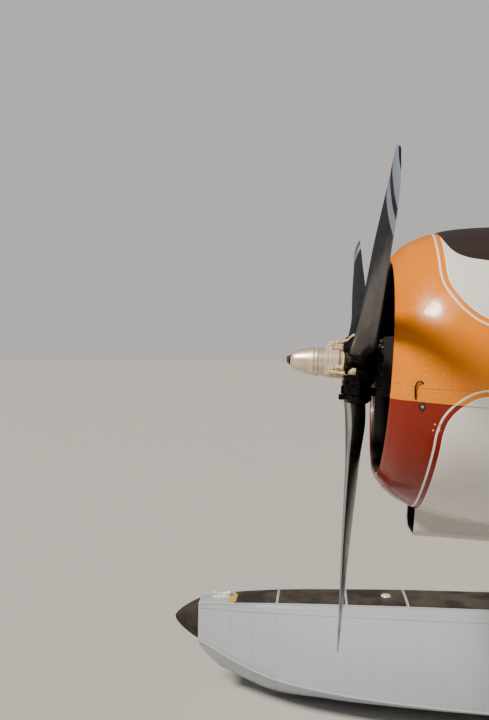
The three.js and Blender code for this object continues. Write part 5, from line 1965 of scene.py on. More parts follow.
class AddWings(bpy.types.Operator):
    """Adds the wings: z = camber(u) ± thickness(u) along the chord u, straight in plan, its tip drawn in by
    shrink(x), with spar and rib rivets, covers, flap brackets, tip lights and the airspeed mast"""

    bl_idname = "floatplane.add_wings"
    bl_label = "Wings"

    def execute(self, context):
        slot_end = AILERON[1] + 0.012
        inner = np.array([wing_section(x, COVE) for x in np.linspace(WING_ROOT, slot_end, 32)])
        shrink = np.array(TIP_SHRINK)
        out = np.concatenate([[slot_end, 7.0], np.linspace(7.02, WING_TIP, 28)])
        tip = np.array([wing_section(x, 1.0, s) for x, s in zip(out, np.interp(out, *shrink.T))])
        forms = [capped(inner), capped(tip)]
        # Rivets along the spars and ribs, on both faces.
        spots, ways = [], []
        for top in (True, False):
            for u in (0.03, 0.155, 0.165, 0.40, 0.70, 0.735):
                x = np.arange(0.70, 6.94, 0.055)
                spots.append(on_wing(x, u, top))
                ways.append(wing_normals(x, u, top))
            for x in np.arange(0.86, 6.95, 0.381):
                u = np.linspace(0.06, 0.725, 22)
                spots.append(on_wing(x, u, top))
                ways.append(wing_normals(x, u, top))
        forms.append(rivet_rows(np.concatenate(spots), np.concatenate(ways), 0.0030, 0.0010, sides=5))
        # Covers over the tanks' fillers, and hand-hole covers below.
        fillers = [(x, 0.30, True, 0.055) for x in (1.55, 2.75)]
        for x, u, top, size_of in fillers + [(x, 0.52, False, 0.075) for x in (2.1, 3.9, 5.4)]:
            cover = lathe(
                [
                    [0.0, -0.004], [size_of, -0.004], [size_of, 0.0015], [size_of - 0.002, 0.0022],
                    [0.0, 0.0026],
                ],
                40, "z", finish=1 if top else 0,
            )
            forms.append(copies(cover, on_wing([x], u, top), facing(wing_normals(np.array([x]), u, top))))
        # Brackets in the gaps at the ends of the flap.
        hinge, cove = wing_hinge(), WING_FRONT + COVE * WING_CHORD - 0.02
        for x in (0.665, 4.130):
            rise = LIFT * (x - WING_ROOT)
            corners = [[cove, -0.045], [hinge[0] + 0.02, -0.022], [hinge[0] + 0.02, 0.022], [cove, 0.045]]
            arm = eased(np.array(corners) + [0, hinge[1] + rise], 0.015, True)
            forms.append(slab(arm, x - 0.004, x + 0.004, 0.001, "x", 1))
        both_sides("wing_skin", forms, [wing_enamel(), plated_steel()], stands_for=["wing"], crease=40)

        bulb = lathe([
            [0.0, -0.06], [0.01, -0.055], [0.018, -0.035], [0.021, 0.0], [0.018, 0.03], [0.01, 0.047],
            [0.0, 0.052],
        ], 24)
        lamp = [copies(bulb, on_wing([7.25], 0.36, True, -0.05, 0.84) + [0.043, -0.02, 0.012])]
        for side, tint in (("port", 0xC01818), ("starboard", 0x18A040)):
            shapes = lamp if side == "port" else mirrored(lamp)
            piece(
                f"tip_light_{side}", shapes, [lamp_glass(side, tint)], "airframe", slot="window", crease=60
            )
        # The mast for airspeed, under the port wing's leading edge.
        mast = [
            tube([
                [4.6, 2.2, 1.02], [4.6, 2.14, 0.9], [4.6, 2.1, 0.86], [4.6, 1.9, 0.855]
            ], [0.011, 0.01, 0.009, 0.009], 12, 0),
            tube([[4.6, 1.9, 0.855], [4.6, 1.8, 0.855]], 0.0065, 12, 0),
        ]
        piece("airspeed_mast", mast, [plated_steel()], "airframe", slot="white_enamel", crease=50)
        return {"FINISHED"}


class AddWingSurfaces(bpy.types.Operator):
    """Adds the flaps and ailerons: half a circle about the hinge and straight sides to the trailing edge,
    with ribs that show under the skin"""

    bl_idname = "floatplane.add_wing_surfaces"
    bl_label = "Flaps and Ailerons"

    def execute(self, context):
        hinge = wing_hinge()
        section = moving_section(hinge, SURFACE_RADIUS, [WING_FRONT + WING_CHORD, WING_Z])
        for name, (start, end) in (("flap", FLAP), ("aileron", AILERON)):
            out = np.linspace(start, end, 40)
            rows = np.stack([
                out[:, None] + 0 * section[None, :, 0], np.broadcast_to(section[:, 0], (40, len(section))),
                section[None, :, 1] + LIFT * (out[:, None] - WING_ROOT),
            ], -1)
            forms = [capped(rows)]
            for x in np.arange(start + 0.10, end - 0.05, 0.262):
                share = np.linspace(0.06, 0.95, 14)
                rise = LIFT * (x - WING_ROOT)
                for side in (1, -1):
                    y = hinge[0] + share * (WING_FRONT + WING_CHORD - hinge[0])
                    half = SURFACE_RADIUS + (TRAILING_EDGE - SURFACE_RADIUS) * share
                    z = hinge[1] + (WING_Z - hinge[1]) * share + side * (half - RIB_SUNK) + rise
                    forms.append(tube(np.stack([np.full(14, x), y, z], -1), RIB_RADIUS, 6))
            both_sides(name + "_skin", forms, [wing_enamel()], name + "_SIDE", [name], crease=40)
        return {"FINISHED"}


# Floats. They are given in the frame's own directions.

FLOAT_X, BOW = 1.45, -4.99  # the port float's centreline and its bow
STEP, STERN = 4.0, 7.4  # stations from the bow
BUMPER_END = 0.170
FLOAT_FRAMES = [
    # station from the bow, half beam at the chine, heights of keel, chine and deck, half width of the deck
    [0.170, 0.095, 0.315, 0.395, 0.624, 0.073],
    [0.260, 0.122, 0.212, 0.362, 0.637, 0.092],
    [0.385, 0.166, 0.152, 0.315, 0.648, 0.116],
    [0.630, 0.240, 0.052, 0.246, 0.664, 0.139],
    [1.050, 0.332, 0.010, 0.204, 0.678, 0.156],
    [1.400, 0.374, 0.002, 0.188, 0.685, 0.166],
    [2.000, 0.412, 0.000, 0.174, 0.690, 0.175],
    [4.000, 0.425, 0.000, 0.168, 0.692, 0.180],
]
FLOAT_FRAMES_BEHIND_STEP = [
    [4.004, 0.422, 0.088, 0.212, 0.692, 0.180],
    [5.200, 0.372, 0.244, 0.340, 0.684, 0.168],
    [6.500, 0.262, 0.398, 0.458, 0.668, 0.134],
    [7.400, 0.140, 0.486, 0.520, 0.654, 0.088],
]
FLOAT_SECTION = [
    # shares of the beam, the deck's half width, the rise from keel to chine, and the side up to the deck
    [0.000, 0.00, 0.000, 0.000],
    [0.040, 0.00, 0.018, 0.000],
    [0.300, 0.00, 0.235, 0.000],
    [0.550, 0.00, 0.435, 0.000],
    [0.800, 0.00, 0.700, 0.000],
    [0.960, 0.00, 0.940, 0.000],
    [1.000, 0.00, 1.000, 0.000],
    [0.990, 0.01, 1.000, 0.120],
    [0.945, 0.05, 1.000, 0.260],
    [0.870, 0.13, 1.000, 0.390],
    [0.765, 0.24, 1.000, 0.510],
    [0.620, 0.38, 1.000, 0.630],
    [0.450, 0.55, 1.000, 0.745],
    [0.260, 0.74, 1.000, 0.860],
    [0.130, 0.87, 1.000, 0.930],
    [0.012, 1.00, 1.000, 0.992],
    [0.000, 0.98, 1.000, 1.000],
    [0.000, 0.66, 1.000, 1.000],
    [0.000, 0.33, 1.000, 1.000],
    [0.000, 0.00, 1.000, 1.000],
]
CHINE, SIDE_SEAM, DECK_EDGE, DECK_MIDDLE = 6, 13.5, 16, 19  # places around the section
DECK_CROWN = 0.010  # how far the deck's middle is above its edges
# Where each panel of grit paint starts and ends.
DECK_PANELS = [
    [0.405, 0.682], [0.698, 1.124], [1.14, 1.505], [1.522, 2.25], [2.96, 3.9], [3.916, 4.62], [5.05, 6.2]
]


def float_frame(s):
    """The float's measures at stations, from the rows ahead of the step or behind it."""
    ahead, behind = np.array(FLOAT_FRAMES), np.array(FLOAT_FRAMES_BEHIND_STEP)
    s = np.asarray(s, float)
    one = through(ahead[:, 0], ahead[:, 1:], np.clip(s, BUMPER_END, STEP))
    other = through(behind[:, 0], behind[:, 1:], np.clip(s, STEP + 0.004, STERN))
    return np.where((s <= STEP + 0.001)[:, None], one, other).T


def on_float(s, k, lift=0.0):
    """Places on the port float's skin: station, place around the section from the keel, and height off it."""
    s, k, lift = np.broadcast_arrays(*(np.asarray(part, float) for part in (s, k, lift)))
    shape = s.shape

    def flat(s, k):
        beam, keel, chine, deck, top = float_frame(s)
        around_at, columns = np.arange(len(FLOAT_SECTION)), np.array(FLOAT_SECTION).T
        wide, inner, bottom, side = (np.interp(np.abs(k), around_at, column) for column in columns)
        crown = np.where(np.abs(k) > DECK_EDGE, DECK_CROWN * (1 - inner**2), 0)
        z = keel + bottom * (chine - keel) + side * (deck - chine) + crown
        return np.stack([np.sign(k) * (wide * beam + inner * top), BOW + s, z], -1)

    s, k = s.ravel(), k.ravel()
    points = flat(s, k)
    if np.any(lift):
        inner = np.clip(np.abs(k), 0.05, DECK_MIDDLE - 0.05) * np.where(k < 0, -1, 1)
        across = flat(s, inner + 0.04) - flat(s, inner - 0.04)
        back = np.where(s < STEP, s - 0.004, s + 0.004)
        along = flat(back, inner) - flat(s, inner)
        normal = unit(np.cross(along, across) * np.where(s < STEP, 1, -1)[:, None])
        points = points + normal * lift.reshape(-1, 1)
    return (points + [FLOAT_X, 0, 0]).reshape(*shape, 3)


def float_normals(s, k):
    """Normals of the float's skin: from it to the same places 10 mm off it."""
    return unit(on_float(s, k, 0.01) - on_float(s, k))


def deck_grid(s, off, lift=0.0):
    """Places on the port float's deck: station, distance off its centreline and height above it."""
    s, off = np.broadcast_arrays(np.asarray(s, float), np.asarray(off, float))
    _, _, _, deck, top = float_frame(s.ravel())
    height = deck.reshape(s.shape) + DECK_CROWN * (1 - (off / top.reshape(s.shape)) ** 2) + lift
    return np.stack([FLOAT_X + off, BOW + s, height], -1)


def on_deck(s, off, lift=0.0):
    """One place on the port float's deck."""
    return deck_grid([s], [off], lift)[0]


def both_floats(name, forms, finishes, stands_for=(), slot="float_metal", **more):
    """The port float's piece, given in the frame's directions, and its mirror image."""
    both_sides(name, forms, finishes, stands_for=stands_for, slot=slot, level=True, **more)


class AddFloats(bpy.types.Operator):
    """Adds the floats: at each station a section from keel through chine to deck, x = beam share(k), z =
    keel + bottom(k) (chine - keel) + side(k) (deck - chine) + crown, with beads, rivets, deck panels,
    fittings and bow bumpers"""

    bl_idname = "floatplane.add_floats"
    bl_label = "Floats"

    def execute(self, context):
        ring = np.concatenate([np.arange(0, 20), -np.arange(18, 0, -1)]).astype(float)
        stations = np.concatenate([
            np.linspace(BUMPER_END, 1.4, 42), np.linspace(1.45, STEP, 34), [STEP + 0.004],
            np.linspace(4.06, STERN - 0.015, 44), [STERN],
        ])
        rows = on_float(stations[:, None], ring[None])
        rows[-1] += (rows[-1].mean(0) - rows[-1]) * [0.06, 0, 0.04]
        shapes = [capped(rows)]
        # Beads along the chines and the deck's edges, and the lap near the top of the side.
        runs = (
            np.linspace(BUMPER_END + 0.004, STEP - 0.004, 90), np.linspace(STEP + 0.02, STERN - 0.02, 70)
        )
        for side in (1, -1):
            for part in runs:
                shapes.append(tube(on_float(part, side * CHINE), 0.0065, 8))
                shapes.append(tube(on_float(part, side * (DECK_EDGE - 0.4), 0.001), 0.0060, 8))
                across = side * (SIDE_SEAM + np.array([-0.24, -0.22, 0.22, 0.24]))
                outer = on_float(part[:, None], across[None], np.array([0.0, 0.0016, 0.0016, 0.0]))
                shapes.append(shell(outer, on_float(part[:, None], across[None], -0.003)))
        # Bulkheads' rivets up the side and bottom, and rows along the seams.
        frames = np.concatenate([
            np.arange(0.389, STEP - 0.05, 0.147), np.arange(STEP + 0.1, STERN - 0.1, 0.16)
        ])
        up = np.concatenate([np.linspace(1.2, 5.6, 9), np.linspace(6.4, 13.0, 17), [14.2, 15.0]])
        rows_along = np.concatenate([
            np.arange(0.21, STEP - 0.03, 0.05), np.arange(STEP + 0.05, STERN - 0.05, 0.055)
        ])
        lines = np.array([5.45, 6.35, SIDE_SEAM - 0.12, SIDE_SEAM + 0.12, 15.1])
        grids = [
            np.meshgrid(s, np.concatenate([k, -k]), indexing="ij")
            for s, k in ((frames, up), (rows_along, lines))
        ]
        s, k = (np.concatenate([grid[part].ravel() for grid in grids]) for part in (0, 1))
        lift = np.where(np.abs(np.abs(k) - SIDE_SEAM) < 0.2, 0.0016, 0.0)
        shapes.append(rivet_rows(on_float(s, k, lift), float_normals(s, k), 0.0048, 0.0020, sides=5))
        # Deck panels of grit paint, with the hull's paint between them as a border.
        for low, high in DECK_PANELS:
            part = np.linspace(low, high, max(int((high - low) / 0.05), 4))
            top = float_frame(part)[4]
            share = np.linspace(0.010 / top - 1, 1 - 0.032 / top, 13, axis=1)
            place_around = np.where(share < 0, -1, 1) * np.interp(
                np.abs(share), [0.0, 0.33, 0.66, 0.98, 1.0], [19, 18, 17, 16, 15.9]
            )
            outer = on_float(part[:, None], place_around, 0.0012)
            shapes.append(shell(outer, on_float(part[:, None], place_around, -0.001), 1))
        # The keel's wear strip, from the bow to the step.
        keel = np.linspace(BUMPER_END, STEP - 0.01, 80)
        shapes.append(tube(on_float(keel, 0 * keel) + [0, 0, 0.0125], 0.0105, 8, 3))
        # An access patch low on the inboard side, and the bow's keel shoe.
        s, k = np.linspace(0.980, 1.270, 16)[:, None], np.linspace(-13.0, -10.2, 10)[None]
        shapes.append(shell(on_float(s, k, 0.0020), on_float(s, k, -0.001)))
        shoe = np.linspace(BUMPER_END + 0.002, 0.300, 16)[:, None]
        across = np.linspace(-1.6, 1.6, 13)[None]
        shapes.append(shell(on_float(shoe, across, 0.0030), on_float(shoe, across, -0.001), 4))
        finishes = [hull_paint(), deck_grit(), black_rubber(), plated_steel(), white_enamel()]
        both_floats("float_hull", shapes, finishes, ["float"], crease=40)

        fittings = [
            tube(on_float(part, side * (DECK_EDGE - 0.15), 0.0035), 0.005, 8, 0)
            for part in runs
            for side in (1, -1)
        ]
        # A low cleat along the deck: a white dish with two short horns.
        for s in (0.312, 5.350):
            top = on_deck(s, 0.0)
            dish = slab(rounded_box((-0.028, -0.062), (0.028, 0.062), 0.026), -0.004, 0.008, 0.002, "z", 0)
            fittings.append(copies(dish, [top]))
            horns = curve(
                top + np.array([
                    [0, -0.064, 0.027], [0, -0.04, 0.021], [0, -0.018, 0.018], [0, 0.018, 0.018],
                    [0, 0.04, 0.021], [0, 0.064, 0.027],
                ]),
                28,
            )
            fittings.append(tube(horns, 0.0090 + 0.0030 * np.cos(np.linspace(0, 2 * math.pi, 28)), 12, 0))
            for y in (-0.016, 0.016):
                fittings.append(tube(top + np.array([[0, y, 0.0], [0, y, 0.020]]), 0.008, 12, 0))
        # Pump-out caps, a stud and a blank plate.
        cap_shape = lathe([
            [0.0, -0.003], [0.03, -0.003], [0.032, 0.003], [0.028, 0.009], [0.014, 0.012], [0.0, 0.013]
        ], 32, "z", finish=0)
        fittings.append(copies(
            cap_shape,
            [
                on_deck(s, off)
                for s, off in ((1.391, -0.01), (2.42, 0.0), (3.3, 0.0), (4.35, 0.0), (5.7, 0.0))
            ],
        ))
        fittings.append(copies(
            lathe([[0.0, -0.002], [0.008, -0.002], [0.009, 0.004], [0.0, 0.01]], 16, "z", finish=1),
            [on_deck(0.6, -0.036)],
        ))
        s, off = np.linspace(0.376, 0.422, 6)[:, None], np.linspace(-0.100, 0.020, 8)[None]
        plate = deck_grid(s, off, 0.0032)
        fittings.append(shell(plate, plate - [0, 0, 0.0030], 2))
        for s in (0.380, 0.418):
            for off in (-0.094, 0.014):
                fittings.append(copies(stud(0.003, 0.0015, 8, 1), [on_deck(s, off, 0.0032)]))
        both_floats(
            "deck_fittings", fittings, [white_enamel(), plated_steel(), placard_yellow()],
            slot="float_metal", crease=40,
        )

        turn = np.linspace(0, 2 * math.pi, 48, endpoint=False)
        c, d = np.cos(turn), np.sin(turn)
        ring = np.stack([
            np.sign(c) * np.abs(c) ** 0.75 * 0.092, 0 * c, np.sign(d) * np.abs(d) ** 0.75 * 0.124
        ], -1)
        steps = curve([
            [0.1695, 0.985], [0.163, 0.998], [0.142, 0.935], [0.1, 0.755], [0.045, 0.455], [0.018, 0.26],
            [0.006, 0.14], [0.0, 0.03],
        ], 40)
        rows = np.array([[FLOAT_X, BOW + s, 0.511 - 0.008 * g] + ring * g for s, g in steps])
        both_floats("bumper", [capped(rows)], [bumper_rubber()], ["bow_bumper"], "bumper_rubber", crease=60)
        return {"FINISHED"}


# Struts and legs.

STRUT_STATION, STRUT_FOOT, STRUT_TOP = 2.566, (0.642, -0.410), (3.180, 1.004)  # each end out and up
LEG_X, FRONT_LEG_Y, REAR_LEG_Y, LEG_FOOT = 1.290, -2.290, -0.150, 0.640  # in the frame's directions
BODY_FITTING = (0.505, -0.560)  # where the legs meet the body, out and up


def bar_ways(start, end):
    """A bar's length, its back and its side as directions: back is aft, squared to the length."""
    along = unit(end - start)
    back = unit(np.array([0.0, 1, 0]) - along * along[1])
    return along, back, np.cross(along, back)


def stream_bar(start, end, chord, thick, finish=0, count=20):
    """A strut's body: at share u from its front edge it is thick sqrt(u) (1 - u)^0.75 / 0.431 through, and it
    runs straight from start to end."""
    start, end = np.asarray(start, float), np.asarray(end, float)
    _, back, aside = bar_ways(start, end)
    u = 0.5 - 0.5 * np.cos(np.linspace(0, math.pi, count))
    half = 0.5 * thick * np.maximum(np.sqrt(u) * (1 - u) ** 0.75 / 0.431, 0.03)
    u, half = np.concatenate([u, u[::-1]]), np.concatenate([half, -half[::-1]])
    ring = chord * (u - 0.45)[:, None] * back + half[:, None] * aside
    return capped(np.stack([start + ring, start + 0.3 * (end - start) + ring, end + ring]), finish)


def strut(start, end, chord, thick, cuffs=(0.13, 0.13)):
    """A strut with a cuff at each end and a bolt through each cuff."""
    start, end = np.asarray(start, float), np.asarray(end, float)
    along, back, aside = bar_ways(start, end)
    forms = [stream_bar(start, end, 0.97 * chord, 0.93 * thick)]
    for at, way, reach in ((start, along, cuffs[0]), (end, -along, cuffs[1])):
        if reach:
            forms.append(stream_bar(at, at + way * reach, chord, thick, 1))
            head = hexagon_bolt(0.017, 0.008, 2)
            for share in (0.62, 0.86):
                for side in (1, -1):
                    spot = at + way * reach * share - back * 0.08 * chord + aside * side * 0.49 * thick
                    forms.append(copies(head, [spot], facing([aside * side], along)))
    return forms


class AddStruts(bpy.types.Operator):
    """Adds the wing struts, the floats' legs and spreaders: a streamlined section swept straight between two
    places, with cuffs, bolts, foot plates and crossed brace wires"""

    bl_idname = "floatplane.add_struts"
    bl_label = "Struts and Legs"

    def execute(self, context):
        finishes = [white_enamel(), cast_aluminium(), plated_steel()]
        foot, top = ([out, STRUT_STATION, up] for out, up in (STRUT_FOOT, STRUT_TOP))
        both_sides(
            "wing_strut", strut(foot, top, 0.112, 0.046, (0.16, 0.2)), finishes, stands_for=["wing_strut"],
            crease=40,
        )

        def fitting(station):
            return place([BODY_FITTING[0], station, BODY_FITTING[1]])

        front_foot, rear_foot = (np.array([LEG_X, y, LEG_FOOT + 0.045]) for y in (FRONT_LEG_Y, REAR_LEG_Y))
        front = strut(front_foot, fitting(1.850), 0.120, 0.052, (0.15, 0.30))
        rear = strut(rear_foot, fitting(3.560), 0.104, 0.046, (0.14, 0.26))
        rear += strut(rear_foot + [0, -0.03, 0.01], fitting(2.150), 0.084, 0.038, (0.12, 0.24))
        for forms, foot in ((front, front_foot), (rear, rear_foot)):
            plate = slab(
                rounded_box((LEG_X - 0.012, foot[1] - 0.085), (LEG_X + 0.066, foot[1] + 0.085), 0.02),
                0.6935, 0.704, 0.002, "z", 1,
            )
            forms.append(plate)
            for dx in (0.020, 0.050):
                for dy in (-0.060, 0.060):
                    forms.append(copies(hexagon_bolt(0.014, 0.007, 2), [[LEG_X + dx, foot[1] + dy, 0.704]]))
        both_floats("front_leg", front, finishes, ["front_leg"], "white_enamel", crease=40)
        both_floats("rear_leg", rear, finishes, ["rear_leg"], "white_enamel", crease=40)

        for name, y in (("front_spreader", FRONT_LEG_Y), ("rear_spreader", REAR_LEG_Y)):
            reach = 1.235
            bar = stream_bar([-reach, y, 0.610], [reach, y, 0.610], 0.112, 0.046)
            cuffs = [
                stream_bar([side * reach, y, 0.61], [side * (reach - 0.11), y, 0.61], 0.116, 0.05, 1)
                for side in (1, -1)
            ]
            piece(
                name + "_bar", [bar, *cuffs], finishes, "airframe", [name], "white_enamel", 40, level=True
            )
        # Brace wires cross from each float to the other side of the body, with a turnbuckle near the foot.
        for name, leg_y, station in (("front_wires", FRONT_LEG_Y, 1.9), ("rear_wires", REAR_LEG_Y, 3.5)):
            y = leg_y + 0.02
            forms = []
            for side in (1, -1):
                low = np.array([side * 1.262, y + side * 0.006, 0.668])
                high = fitting(station) * [-side, 1, 1] + [0, side * 0.006, 0.0]
                path = low + np.linspace(0, 1, 24)[:, None] * (high - low)
                forms.append(tube(path, 0.0035, 8, 2))
                forms.append(tube(path[1:3], 0.0085, 12, 2))
            piece(name, forms, finishes, "airframe", slot="hub_steel", crease=50, level=True)
        return {"FINISHED"}


class AddWaterRudders(bpy.types.Operator):
    """Adds the water rudders: the frame's blades with their edges eased, and hinge brackets on the sterns"""

    bl_idname = "floatplane.add_water_rudders"
    bl_label = "Water Rudders"

    def execute(self, context):
        eased_pair(
            "water_rudder_blade", ["water_rudder"], hull_paint(), "water_rudder_SIDE", "float_metal",
            width=0.003,
        )
        stern = BOW + STERN
        forms = []
        for height in (0.560, 0.640):
            arm = slab(
                rounded_box((FLOAT_X - 0.045, stern - 0.015), (FLOAT_X + 0.045, stern + 0.022), 0.008),
                height, height + 0.01, 0.0015, "z", 0,
            )
            forms.append(arm)
            for dx in (-0.030, 0.030):
                forms.append(copies(
                    hexagon_bolt(0.012, 0.006, 1), [[FLOAT_X + dx, stern + 0.01, height + 0.01]]
                ))
        both_floats("rudder_brackets", forms, [cast_aluminium(), plated_steel()], crease=40)
        return {"FINISHED"}


# Inside the cabin.

# From and to across the cabin, and the station of the pan's front.
SEATS = {"crew_seat": ((0.100, 0.530), 2.120), "cabin_bench": ((-0.540, 0.540), 3.100)}
FLOOR_TOP, PANEL_FACE = -0.400, 1.840  # a height and a station


def pad(width, depth, thick, crown):
    """A cushion lying flat about the origin: x = w/2 c(a) c(t), y = d/2 c(a) s(t), z = h/2 s(a), with cosine
    and sine raised to small powers, its sides pulled in between the corners and its top crowned."""
    a = np.linspace(-math.pi / 2, math.pi / 2, 26)[:, None]
    t = np.linspace(0, 2 * math.pi, 96, endpoint=False)[None]

    def power(value, share):
        return np.sign(value) * np.abs(value) ** share

    waist = 1 - 0.018 * np.cos(4 * t) - 0.018
    x, y = (power(np.cos(a), 0.3) * power(part, 0.28) * waist for part in (np.cos(t), np.sin(t)))
    z = power(np.sin(a), 0.45) * thick / 2 + np.where(a > 0, crown * (1 - x**2) * (1 - y**2), 0)
    return skin(np.stack([x * width / 2, y * depth / 2, z + 0 * t], -1))


def puffed(form, voxel, cap):
    """The cushion once air pressure has stretched its cover: a cloth simulation, its reach capped."""
    mesh = bpy.data.meshes.new("soft")
    mesh.from_pydata(form.points.tolist(), [], form.faces.tolist())
    weld(mesh)
    soft = bpy.data.objects.new("soft", mesh)
    bpy.context.scene.collection.objects.link(soft)
    remesh = soft.modifiers.new("Remesh", "REMESH")
    remesh.mode, remesh.voxel_size = "VOXEL", voxel
    graph = bpy.context.evaluated_depsgraph_get()
    soft.data = bpy.data.meshes.new_from_object(soft.evaluated_get(graph))
    soft.modifiers.clear()
    still = points_of(soft.data)
    faces = np.empty(len(soft.data.loops), np.int32)
    soft.data.loops.foreach_get("vertex_index", faces)
    cloth = soft.modifiers.new("Cloth", "CLOTH")
    cloth.settings.use_pressure = True
    cloth.settings.uniform_pressure_force = 4
    cloth.settings.effector_weights.gravity = 0
    scene = bpy.context.scene
    for number in range(1, 15):
        scene.frame_set(number)
    graph = bpy.context.evaluated_depsgraph_get()
    moved = points_of(soft.evaluated_get(graph).to_mesh()) - still
    bpy.data.objects.remove(soft)
    scene.frame_set(1)
    reach = np.linalg.norm(moved, axis=1, keepdims=True)
    return Form(still + moved * np.minimum(1, cap / np.maximum(reach, 1e-9)), faces.reshape(-1, 4))


def points_of(mesh):
    """A mesh's points as one array."""
    values = np.empty(len(mesh.vertices) * 3)
    mesh.vertices.foreach_get("co", values)
    return values.reshape(-1, 3)


def sewn(form, channels, depth=0.006):
    """Presses sewn channels into a cushion's top, and the seam around its middle."""
    points = form.points.copy()
    for at in channels:
        press = depth * np.exp(-(((points[:, 0] - at) / 0.007) ** 2))
        points[:, 2] -= np.where(points[:, 2] > 0.01, press, 0)
    radial = np.abs(points[:, 2]) < 0.02
    points[radial, :2] *= (1 - 0.010 * np.exp(-((points[radial, 2:] / 0.005) ** 2)))
    return Form(points, form.faces)


